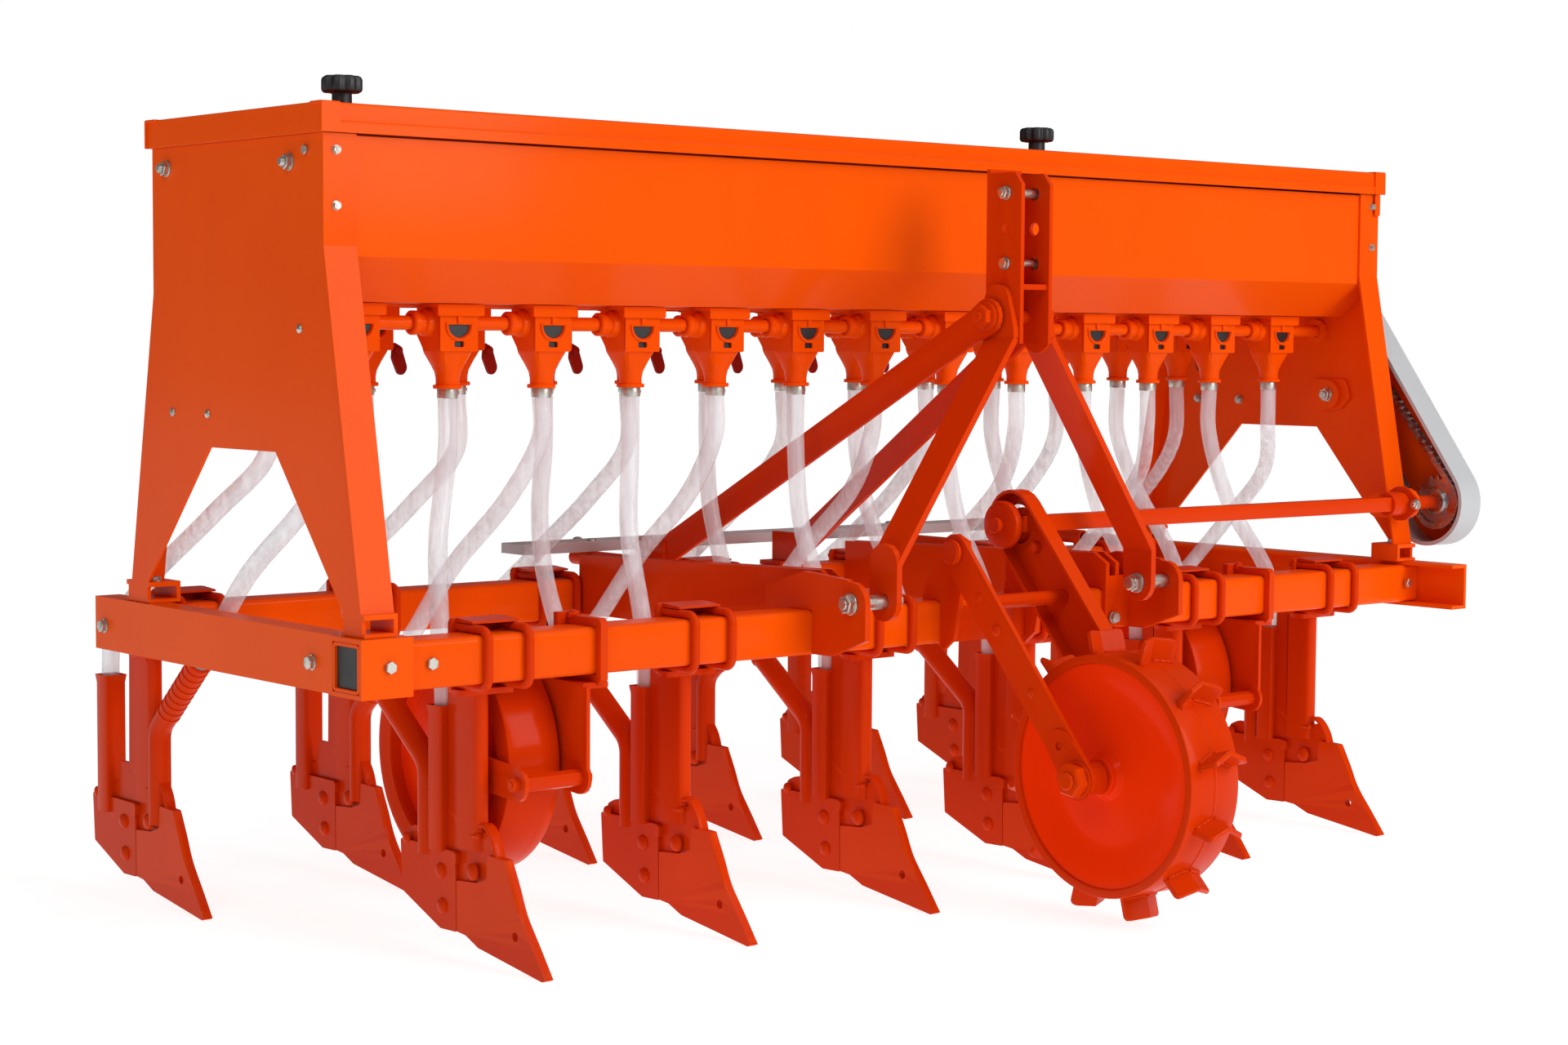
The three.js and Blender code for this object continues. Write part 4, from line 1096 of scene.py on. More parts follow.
# ---- openers
@dataclass
class Opener:
    """A furrow opener: clamp, post, seed boots and the shoe with its share and wing.

    Attributes:
        name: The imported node's name.
        x: The middle of the opener.
        y: The front face of its bar.
        clamp_x: The middle of its clamp.
        rear: Whether it hangs from the rear bar.
        rod: The radius of a U-bolt's rod.
        spread: Half the distance between the two U-bolts.
        post_half: Half the width of the post.
    """

    name: str
    x: float
    y: float
    clamp_x: float
    rear: bool
    rod: float = 6.0
    spread: float = 33.0
    post_half: float = 11.5

    def plate(
        self, shape: Shape, points: Sequence[Sequence[float]], span: Span,
        holes: Sequence[list[Flat]] = (),
    ) -> None:
        """Adds an upright plate; points are (y, z, radius) behind the bar's front face.

        Args:
            shape: Takes the new faces.
            points: The corners as (y, z) or (y, z, radius).
            span: Where it starts and ends across the drill.
            holes: Openings through it.
        """
        outline = [(u + self.y, v) for u, v in rounded(points, 6)]
        moved = [[(u + self.y, v) for u, v in hole] for hole in holes]
        shape.prism(Axis.X, outline, (self.x + span[0], self.x + span[1]), moved)

    def clamp(self, shape: Shape) -> None:
        """The two U-bolts, their rear plate, top strap and nuts.

        Args:
            shape: Takes the new faces.
        """
        y, front = self.y, self.y - 6.3
        low, high = BAR_BASE - 6.3, BAR_TOP + 6.3
        for x in (self.clamp_x - self.spread, self.clamp_x + self.spread):
            corners = [(x, y + 77, high), (x, front, high), (x, front, low), (x, y + 77, low)]
            shape.pipe(bent(corners, 15, 7), self.rod, sides=16)
            shape.bolt((x, y + 73, high), (0, 1, 0), 9, twist=x)
            shape.bolt((x, y + 73, low), (0, 1, 0), 9, washer=False, twist=x + 1)
        x0, x1 = self.clamp_x - CLAMP_HALF, self.clamp_x + CLAMP_HALF
        shape.prism(Axis.Y, rectangle((x0, x1), (366.7, 468.3), 7), (y + 65.3, y + 73))
        strap = [(y + 26, 463), (y + 60, 463), (y + 72, 462), (y + 72, 468), (y + 58, 468.3),
                 (y + 26, 466)]
        shape.prism(Axis.X, strap, (self.clamp_x - 37, self.clamp_x + 37))

    def foot_plate(self, shape: Shape) -> None:
        """The plate under the bar that carries post and boots.

        Args:
            shape: Takes the new faces.
        """
        low = min(self.x - 16, self.clamp_x - 44)
        high = max(self.x + 16, self.clamp_x + 44)
        outline = rectangle((low, high), (self.y + 44, self.y + 68), 5)
        shape.prism(Axis.Z, outline, (364.8, 373))
        tail = rectangle((self.x - 18, self.x + 18), (self.y + 50, self.y + 113), 5)
        shape.prism(Axis.Z, tail, (365.3, 372.6))

    def post(self, shape: Shape) -> None:
        """The post: a channel closed by a round front, with its weld on the shoe.

        Args:
            shape: Takes the new faces.
        """
        half, front, back = self.post_half, self.y + 53, self.y + 103
        nose = bowl(self.x, front + half, half, 14)
        inner = [(self.x + half - 4, back), (self.x + half - 4, front + 26),
                 (self.x - half + 4, front + 26), (self.x - half + 4, back)]
        shape.prism(Axis.Z, [(self.x - half, back), *nose, (self.x + half, back), *inner],
                    (150, 366))
        for dx in (-half, half):
            shape.weld((self.x + dx, front + 8, 364), (self.x + dx, back - 2, 364), 3.2)
        foot = self.y + 60
        shape.weld((self.x - 9, foot - 10, 172), (self.x - 8, foot + 14, 171), 4.2)
        shape.weld((self.x + 9, foot - 10, 172), (self.x + 8, foot + 14, 171), 4.2)

    def shoe(self, shape: Shape) -> None:
        """The carrier with its ear, the folded wing and the pointed share.

        Args:
            shape: Takes the new faces.
        """
        self.plate(shape, [
            (236, 76, 4), (240, 156, 9), (222, 164, 5), (176, 164, 12), (170, 182, 2),
            (168, 200), (139, 200), (136, 368), (112, 368), (110, 186, 14), (98, 166, 10),
            (58, 166, 6), (52, 176), (36, 180, 5), (20, 156, 22), (13, 124, 6), (46, 113, 8),
            (52, 60), (126, 40),
        ], (-4, 4))
        rim = [(self.x, self.y + a, b) for a, b in
               ((56, 186), (42, 186), (27, 172), (17, 150), (14, 118))]
        shape.sweep(flowing(rim, 6), rectangle((-8.5, 8.5), (-3, 3), 2.6), (1, 0, 0))
        wing = [(242, 70, 3), (247, 143, 3), (109, 143, 2), (107, 33, 2), (146, 32, 4)]
        self.plate(shape, wing, (-10.5, -6.2))
        self.plate(shape, wing, (6.2, 10.5))
        self.plate(shape, [(118, 140), (109, 140, 3), (108, 36, 3), (118, 36)], (-9.5, 9.5))
        share = [
            (32, 150, 4), (-9, 148), (-24, 118, 60), (-42, 80, 80), (-76, 38, 60), (-103, 3, 1),
            (-96, 0.4, 1), (54, 20, 6), (84, 32, 6), (106, 34), (107, 104, 3), (60, 108, 20),
            (34, 116, 4),
        ]
        hole = [circle(-34, 50, 6.5, 20)]
        self.plate(shape, share, (-10, -1.5), hole)
        self.plate(shape, share, (-2.2, 3.7), hole)
        nose = [(self.x - 3, self.y + a, b) for a, b in
                ((-9, 146), (-27, 112), (-43, 79), (-74, 38), (-100, 4))]
        shape.sweep(flowing(nose, 5), [(-7, 0.5), (-4, 3.2), (4, 3.2), (7, 0.5), (0, -3)],
                    (1, 0, 0))
        for side in (-1, 1):
            face = self.x + side * 10.4
            for y, z, size in ((144, 112, 11), (140, 64, 11), (231, 146, 8)):
                shape.bolt((face, self.y + y, z), (side, 0, 0), size, domed=True)
            head = self.x + (-9.8 if side < 0 else 3.8)
            shape.bolt((head, self.y + 66, 122), (side, 0, 0), 12, domed=True)
        lug = rectangle((self.y + 104, self.y + 114), (126, 142), 3)
        shape.prism(Axis.X, lug, (self.x - 13, self.x + 13))

    def boot(self, shape: Shape) -> None:
        """The square seed boot with its flared mouth.

        Args:
            shape: Takes the new faces.
        """
        y = REAR_BOOT_Y if self.rear else FRONT_BOOT_Y
        top, base = (328, 120) if self.rear else (340, 140)

        def ring(half: float, z: float) -> list[Point]:
            """A square ring of the boot."""
            flat = rectangle((-half, half), (-half, half), min(3.5, half * 0.3), 3)
            return [(self.x + u, y + v, z) for u, v in flat]

        outer = [ring(16.5, base), ring(16.5, top - 12), ring(18.4, top)]
        inner = [ring(16.4, top), ring(14.4, top - 12), ring(14.4, base + 20)]
        shape.loft([*outer, *inner])
        shape.weld((self.x - 13, y - 14.5, 172), (self.x - 13, y + 13.5, 172), 3.0)

    def round_boot(self, shape: Shape) -> None:
        """The bent round boot.

        Args:
            shape: Takes the new faces.
        """
        if self.rear:
            points = [(REAR_BOOT_ELBOW[0], 120), REAR_BOOT_ELBOW, REAR_BOOT_MOUTH]
        else:
            points = [(FRONT_BOOT_ELBOW[0], 130), FRONT_BOOT_ELBOW, FRONT_BOOT_MOUTH]
        path = bent([(self.x, *p) for p in points], 38, 8)
        shape.pipe(path, 16.8, 14.6, 22)
        mouth, before = path[-1], path[-2]
        way = (mouth - before).normalized()
        lip = [mouth - way * 5, mouth - way * 0.5]
        shape.pipe(lip, 18.6, 16.5, 22)
        if self.rear:
            for i in range(9):
                at = mouth - way * (18 + i * 14)
                shape.pipe([at, at + way * 5], 18.2, 16.0, 22)

    def make(self) -> None:
        """Makes the opener."""
        shape = Shape()
        for part in (self.clamp, self.foot_plate, self.post, self.shoe, self.boot,
                     self.round_boot):
            part(shape)
        Piece(f"{self.name}_unit", Finish.DEEP, bevel=0.9).make(shape, self.name)


@dataclass
class Openers:
    """Both rows of furrow openers.

    Attributes:
        left_limit: The middle of the leftmost clamp.
        right_limit: The middle of the rightmost clamp.
    """

    left_limit: float = -(HOPPER_HALF - FLANGE - CLAMP_HALF - CLEARANCE)
    right_limit: float = BAR_REACH - SLEEVE - CLAMP_HALF - CLEARANCE

    def make(self) -> None:
        """Makes every opener, from left to right."""
        counts = {True: 0, False: 0}
        for row in ROWS:
            rear = row % 2 == 0
            counts[rear] += 1
            x = row_x(row)
            kind = "rear" if rear else "front"
            clamp_x = max(self.left_limit, min(self.right_limit, x))
            Opener(f"{kind}_opener_{counts[rear]}", x, REAR_Y if rear else 0.0, clamp_x,
                   rear).make()


def row_x(row: int) -> float:
    """The middle of a seed row's opener."""
    return row * (REAR_PITCH if row % 2 == 0 else FRONT_PITCH)


# ---- hoses
@dataclass
class Hoses:
    """The clear hoses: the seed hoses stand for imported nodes, the fertiliser hoses are extra.

    Attributes:
        radius: Half of a hose's diameter.
    """

    radius: float = HOSE / 2

    @staticmethod
    def seed_route(row: int) -> list[Point]:
        """The points of a seed hose.

        Args:
            row: The seed row, 0 in the middle.

        Returns:
            The points, from the meter's spout to the opener's boot.
        """
        start = METER_OFFSET + row * METER_PITCH
        end = row_x(row)
        y, top = METER_FRONT_Y, SPOUT_Z - 0.3
        if row % 2:
            return [
                (start, y, top), (start, y, top - 70),
                (start + (end - start) * 0.45, y - 14, 560), (end, FRONT_BOOT_Y + 8, 430),
                (end, FRONT_BOOT_Y, 360), (end, FRONT_BOOT_Y, 318),
            ]
        mouth = Vector(REAR_BOOT_MOUTH)
        way = (Vector(REAR_BOOT_ELBOW) - mouth).normalized()
        before, after = mouth - way * 34, mouth + way * 22
        return [
            (start, y, top), (start, y, top - 55),
            (start + (end - start) * 0.6, y + 52, 612), (end, y + 176, 506),
            (end, before.x, before.y), (end, after.x, after.y),
        ]

    @staticmethod
    def fertiliser_route(row: int) -> list[Point]:
        """The points of a fertiliser hose, which goes to the opener's other boot.

        Args:
            row: The row, counted from the middle one.

        Returns:
            The points.
        """
        start = METER_OFFSET + row * METER_PITCH
        end = row_x(row)
        y, top = METER_REAR_Y, SPOUT_Z - 0.3
        if row % 2:
            mouth = Vector(FRONT_BOOT_MOUTH)
            way = (Vector(FRONT_BOOT_ELBOW) - mouth).normalized()
            before, after = mouth - way * 40, mouth + way * 16
            return [
                (start, y, top), (start, y, top - 80),
                (start + (end - start) * 0.5, y - 8, 575), (end, y - 46, 470),
                (end, before.x, before.y), (end, after.x, after.y),
            ]
        return [
            (start, y, top), (start, y, top - 80),
            (start + (end - start) * 0.55, y + 92, 590), (end, 700, 480),
            (end, 815, 395), (end, REAR_BOOT_Y, 340), (end, REAR_BOOT_Y, 306),
        ]

    def lay(self, name: str, route: list[Point], node: str | None) -> None:
        """Lays one hose.

        Args:
            name: The piece's name.
            route: The points it passes through, in mm.
            node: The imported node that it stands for, if any.
        """
        path = [DATUM.metres(p) for p in flowing(route, 7)]
        curve = bpy.data.curves.new(name, "CURVE")
        curve.dimensions = "3D"
        curve.bevel_depth = self.radius * 0.001
        curve.bevel_resolution = 5
        spline = curve.splines.new("POLY")
        spline.points.add(len(path) - 1)
        for point, place in zip(spline.points, path):
            point.co = (*place, 1.0)
        spline.use_smooth = True
        curve.materials.append(Finish.HOSE.material())
        hose = added(name, curve)
        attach(hose, "drill")
        if node:
            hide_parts(node)

    def make(self) -> None:
        """Lays all the hoses, from left to right."""
        for count, row in enumerate(ROWS, start=1):
            self.lay(f"seed_hose_{count}_tube", self.seed_route(row), f"seed_hose_{count}")
            self.lay(f"fertiliser_hose_{count}", self.fertiliser_route(row), None)


# ---- hopper
@dataclass
class Hopper:
    """The hopper: dressed panels, its lid with end caps, knobs, bolts and hasps.

    Attributes:
        front: The front of the trough.
        rear: Its rear.
        base: The underside of the lid.
        height: The lid's height.
    """

    front: float = 103.0
    rear: float = 573.0
    base: float = 1106.0
    height: float = 39.0

    def lid_profile(self, inset: float) -> list[Flat]:
        """The lid's cross-section, seen from the side.

        Args:
            inset: How far the profile lies inside the lid's outer face.

        Returns:
            The outline from the front lip over the top to the rear lip.
        """
        low, top = self.base, self.base + self.height - inset
        front, rear = self.front - 8 + inset, self.rear + 8 - inset
        return rounded([
            (front, low), (front, low + 13), (front + 2.2, low + 16),
            (front + 2.2, top, 4), (rear - 2.2, top, 4), (rear - 2.2, low + 16),
            (rear, low + 13), (rear, low),
        ], 4)

    def lid(self) -> Shape:
        """The lid: a folded sheet with end caps, a raised field and hinge knuckles.

        Returns:
            The shape.
        """
        shape = Shape()
        half = HOPPER_HALF + 3.0
        outer = self.lid_profile(0)
        inner = list(reversed(self.lid_profile(2.5)))
        shape.prism(Axis.X, [*outer, *inner], (-half, half))
        raised = rectangle((-half + 60, half - 60), (self.front + 34, self.rear - 34), 18, 6)
        shape.prism(Axis.Z, raised, (self.base + self.height - 3, self.base + self.height + 2.4))
        for side in (-1, 1):
            end = side * half
            cap = self.lid_profile(-0.2)
            shape.prism(Axis.X, cap, (end - side * 2.5, end + side * 1.2))
            span = (end - side * 24, end + side * 4.5)
            low, top = self.base, self.base + self.height
            for edge, way in ((self.front - 8, 1), (self.rear + 8, -1)):
                corner = [(edge - way * 1.3, low), (edge - way * 1.3, top + 1.2, 3),
                          (edge + way * 30, top + 1.2, 3), (edge + way * 30, top - 3),
                          (edge + way * 3, top - 3, 2), (edge + way * 3, low)]
                shape.prism(Axis.X, rounded(corner), span)
        for x in (-860, -430, 0, 430, 860):
            at = (x - 34, self.rear + 4, self.base + 3)
            shape.rod(at, (x + 34, at[1], at[2]), 4.5, 18)
            leaf = rectangle((x - 30, x + 30), (self.base + 2, self.base + 26), 3)
            shape.prism(Axis.Y, leaf, (self.rear + 6.5, self.rear + 8.3))
        return shape

    def knob(self, x: float) -> Shape:
        """A star knob with eight lobes on its stem.

        Args:
            x: Its middle across the drill.

        Returns:
            The shape.
        """
        shape = Shape()
        y, z = 176.0, self.base + self.height + 0.3
        shape.turned((x, y, z), (0, 0, 1), [(0, 0), (15, 0), (15, 2), (13.5, 4), (13.2, 18),
                                            (16, 21), (0, 21)], 40)

        def ring(height: float, size: float) -> list[Point]:
            """The lobed outline of the knob at one height.

            Args:
                height: How high above the stem's foot.
                size: The width.

            Returns:
                The points.
            """
            points = []
            for i in range(96):
                t = 2 * math.pi * i / 96
                lobe = 0.5 + 0.5 * math.cos(8 * t)
                r = size * (1 - 0.15 * (1 - lobe) ** 2.2)
                points.append((x + r * math.cos(t), y + r * math.sin(t), z + height))
            return points

        heights = [(19, 20), (19.2, 24), (21, 26.6), (24, 27.6), (36, 27.6), (39.5, 26.2),
                   (41.4, 23), (41.8, 17), (41.0, 15.5), (40.6, 6)]
        shape.loft([ring(h, r) for h, r in heights])
        return shape

    def bolts(self) -> Shape:
        """The bolts and nuts of the end plates.

        Returns:
            The shape.
        """
        shape = Shape()
        face = HOPPER_HALF + 0.4
        for side in (-1, 1):
            for y, z in ((528, 1076), (188, 1071)):
                shape.bolt((side * face, y, z), (side, 0, 0), 11, stud=6, twist=y)
            shape.bolt((side * face, 145, 1085), (side, 0, 0), 7, washer=False, twist=0.6)
            shape.bolt((side * face, 164, 852), (side, 0, 0), 6, washer=False, domed=True)
            x = side * (HOPPER_HALF - 19)
            for z in (1084, 1012):
                shape.bolt((x, self.front - 0.4, z), (0, -1, 0), 6, stud=2, twist=z)
                shape.bolt((x, self.rear + 0.4, z), (0, 1, 0), 6, twist=z)
            for y in (415, 517):
                shape.bolt((side * (HOPPER_HALF - 4.4), y, 734), (-side, 0, 0), 8, stud=4, twist=y)
                shape.bolt((side * face, y, 734), (side, 0, 0), 6, washer=False, domed=True)
        shape.bolt((HOPPER_HALF - 20.4, 195, 748), (-1, 0, 0), 12, stud=5)
        return shape

    def hasps(self) -> Shape:
        """The hasp below the lid's right corner and the plates round the boss.

        Returns:
            The shape.
        """
        shape = Shape()
        x = HOPPER_HALF - 9
        strap = rectangle((x - 7, x + 7), (1068, 1106), 3)
        shape.prism(Axis.Y, strap, (self.front - 5.6, self.front - 3.2))
        shape.box((x - 5, x + 5), (self.front - 4, self.front + 1), (1070, 1074))
        plate = rounded([(162, 776, 8), (150, 744, 10), (172, 722, 8), (222, 718, 10),
                         (244, 742, 10), (232, 776, 8)], 6)
        shape.prism(Axis.X, plate, (HOPPER_HALF - 10, HOPPER_HALF - 4))
        shape.turned((HOPPER_HALF - 9, 195, 748), (-1, 0, 0), [(0, 0), (21, 0), (21, 7), (19, 9),
                                                              (0, 9)], 36)
        return shape

    def make(self) -> None:
        """Makes the hopper."""
        carry_over("hopper_trough", Finish.ORANGE, 2.2)
        for name in ("left_end_plate", "right_end_plate"):
            carry_over(name, Finish.ORANGE, 1.6)
        Piece("hopper_lid_sheet", Finish.ORANGE, "lid", 0.7).make(self.lid(), "hopper_lid")
        for side, x in (("left", -1010.0), ("right", 290.0)):
            piece = Piece(f"star_knob_{side}", Finish.BLACK, "lid", 0.8)
            piece.make(self.knob(x), f"lid_knob_{side}")
        Piece("hopper_bolts", Finish.ZINC, bevel=0.0).make(self.bolts())
        Piece("hopper_hasps", Finish.ORANGE, bevel=0.5).make(self.hasps())


# ---- meters
@dataclass
class MeterRow:
    """One row of thirteen metering units with its feed shaft.

    Attributes:
        name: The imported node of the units.
        shaft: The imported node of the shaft.
        body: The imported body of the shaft.
        y: The middle of the row.
        top: The underside of the hopper's floor.
        levers: Whether each unit has a shut-off lever.
    """

    name: str
    shaft: str
    body: str
    y: float
    levers: bool
    top: float = 888.7

    def at(self, row: int) -> float:
        """The middle of a unit."""
        return METER_OFFSET + row * METER_PITCH

    def housing(self, shape: Shape, x: float) -> None:
        """The cast housing: a box with side walls, a lip round its outlet, and a bracket.

        Args:
            shape: Takes the new faces.
            x: Its middle across the drill.
        """
        y, top = self.y, self.top
        face = [(x - 31, top - 66, 3), (x + 31, top - 66, 3), (x + 31, top - 4), (x - 31, top - 4)]
        half_round = bowl(x, top - 29, 18, 14)
        slot = rectangle((x - 8, x + 8), (top - 60, top - 52), 2)
        shape.prism(Axis.Y, rounded(face), (y - 30, y - 26), [half_round, slot])
        lip = [(x - 21, top - 27), *bowl(x, top - 29, 21, 12)]
        path = [Vector((u, y - 31, v)) for u, v in lip]
        shape.pipe(path, 2.2, sides=8, side=(0, 1, 0))
        for side in (-1, 1):
            wall = rounded([(y - 27, top - 4), (y + 30, top - 4), (y + 30, top - 44, 4),
                            (y + 12, top - 66, 6), (y - 27, top - 66)], 5)
            shape.prism(Axis.X, wall, (x + side * 28, x + side * 31))
        shape.box((x - 30, x + 30), (y + 26, y + 30), (top - 44, top - 4))
        bracket = rectangle((x - 38, x + 38), (y - 34, y + 30), 3)
        shape.prism(Axis.Z, bracket, (top - 5, top - 0.2))
        rim = [(x - 38, top - 1), (x - 38, top - 17, 3), (x + 38, top - 17, 3), (x + 38, top - 1)]
        shape.prism(Axis.Y, rounded(rim), (y - 36, y - 32))
        shape.box((x - 3.5, x + 3.5), (y - 33, y - 29), (top - 27, top - 16))

    def funnel(self, shape: Shape, x: float) -> None:
        """The funnel, its neck, ring and collar.

        Args:
            shape: Takes the new faces.
            x: Its middle across the drill.
        """
        y, top = self.y, self.top

        def squarish(half_u: float, half_v: float, z: float, push: float) -> list[Point]:
            """A loop between a rounded rectangle and a circle.

            Args:
                half_u: Half its width.
                half_v: Half its depth.
                z: Its height.
                push: How square it is: 0 is round, 1 is a rectangle.

            Returns:
                The points.
            """
            points = []
            for i in range(32):
                t = 2 * math.pi * (i + 0.5) / 32
                c, s = math.cos(t), math.sin(t)
                box = 1 / max(abs(c), abs(s))
                swell = 1 + (min(box, 1.32) - 1) * push
                points.append((x + half_u * c * swell, y + half_v * s * swell, z))
            return points

        spout = SPOUT_Z
        loops = [
            squarish(28, 26, top - 60, 1.0), squarish(27, 25, top - 68, 0.9),
            squarish(21, 20, top - 84, 0.55), squarish(17.5, 17.2, top - 95, 0.2),
            squarish(16.6, 16.6, top - 104, 0.0), squarish(16.6, 16.6, spout + 19, 0.0),
        ]
        shape.loft(loops)
        shape.turned((x, y, spout + 13.5), (0, 0, 1), [
            (0, 0), (19.5, 0), (20.4, 1), (20.4, 4.6), (19.5, 5.6), (0, 5.6)], 36)

    def boss(self, shape: Shape, x: float) -> None:
        """The bearing boss that the feed shaft runs in, on the left of a unit.

        Args:
            shape: Takes the new faces.
            x: Its middle across the drill.
        """
        profile = [(11, -62), (15, -62), (17, -60), (17, -52), (15, -50), (15, -44), (18.5, -41),
                   (20, -30), (11, -30)]
        shape.turned((x, self.y, FEED_Z), (1, 0, 0), profile, 32)
        right = [(11, 30), (15, 30), (15, 38), (14, 39.5), (11, 39.5)]
        shape.turned((x, self.y, FEED_Z), (1, 0, 0), right, 28)

    def lever(self, shape: Shape, x: float) -> None:
        """The shut-off lever: a leaf on a short stalk.

        Args:
            shape: Takes the new faces.
            x: Its middle across the drill.
        """
        y, z = self.y - 6, self.top - 62
        leaf = [(x + 44, z + 8, 6), (x + 58, z + 2, 9), (x + 70, z - 34, 12), (x + 54, z - 44, 10),
                (x + 42, z - 16, 8)]
        shape.prism(Axis.Y, rounded(leaf), (y - 2.5, y + 2.5))
        shape.rod((x + 30, y, z + 4), (x + 50, y, z + 2), 4.5, 14)
        shape.turned((x + 52, y - 3, z - 4), (0, -1, 0), [(0, 0), (7, 0), (6, 4), (0, 5)], 20)

    def shade_fills(self) -> Shape:
        """Painted shade: black fills in the half-round openings and behind the slots, where the
        housing's hollow is in shade.

        Returns:
            The shape.
        """
        shape = Shape()
        for row in ROWS:
            x = self.at(row)
            shape.prism(Axis.Y, bowl(x, self.top - 29.2, 17.6, 16), (self.y - 27.5, self.y - 12))
            shape.box((x - 14, x + 14), (self.y - 25, self.y - 20), (self.top - 62, self.top - 50))
        return shape

    def collars(self) -> Shape:
        """The steel collars that the hoses hang from.

        Returns:
            The shape.
        """
        shape = Shape()
        for row in ROWS:
            x = self.at(row)
            shape.turned((x, self.y, SPOUT_Z), (0, 0, 1), [
                (12.4, 0.2), (14.4, 0.2), (14.6, 1.2), (14.6, 12.6), (14.4, 13.8), (12.4, 13.8)],
                36)
            shape.turned((x + 14.8, self.y - 2, SPOUT_Z + 7), (1, -0.6, 0), [
                (0, -1), (2.8, -1), (2.8, 2), (1.6, 2.6), (0, 2.6)], 14)
        return shape

    def rods(self) -> Shape:
        """The feed shaft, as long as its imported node.

        Returns:
            The shape.
        """
        shape = Shape()
        low, high = reach(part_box(self.shaft), Axis.X)
        shape.rod((low, self.y, FEED_Z), (high, self.y, FEED_Z), 9.9, 28, 1.5)
        return shape

    def make(self) -> None:
        """Makes the row."""
        units, levers = Shape(), Shape()
        for row in ROWS:
            x = self.at(row)
            self.housing(units, x)
            self.funnel(units, x)
            self.boss(units, x)
            self.lever(levers, x)
        rail = (self.at(ROWS[0]) - 40, self.at(ROWS[-1]) + 40)
        units.box(rail, (self.y + 8, self.y + 26), (self.top - 4, self.top - 0.3))
        Piece(f"{self.name}_castings", Finish.ORANGE, bevel=0.6).make(units, self.name)
        # Painted shade: black fills darken the openings of the housings.
        Piece(f"{self.name}_painted_shade_fills", Finish.BLACK, bevel=0.4).make(self.shade_fills())
        Piece(f"{self.name}_collars", Finish.ZINC, bevel=0.0).make(self.collars())
        Piece(f"{self.shaft}_bar", Finish.ORANGE, self.body, 0.0).make(self.rods(), self.shaft)
        if self.levers:
            Piece(f"{self.name}_levers", Finish.RED, bevel=0.6).make(levers)
        else:
            levers.bm.free()


@dataclass
class Meters:
    """Both rows of metering units."""

    def make(self) -> None:
        """Makes the rows."""
        MeterRow("seed_meter_row", "seed_feed_shaft", "seed_shaft", METER_FRONT_Y, False).make()
        MeterRow("fertiliser_meter_row", "fertiliser_feed_shaft", "fertiliser_shaft",
                 METER_REAR_Y, True).make()


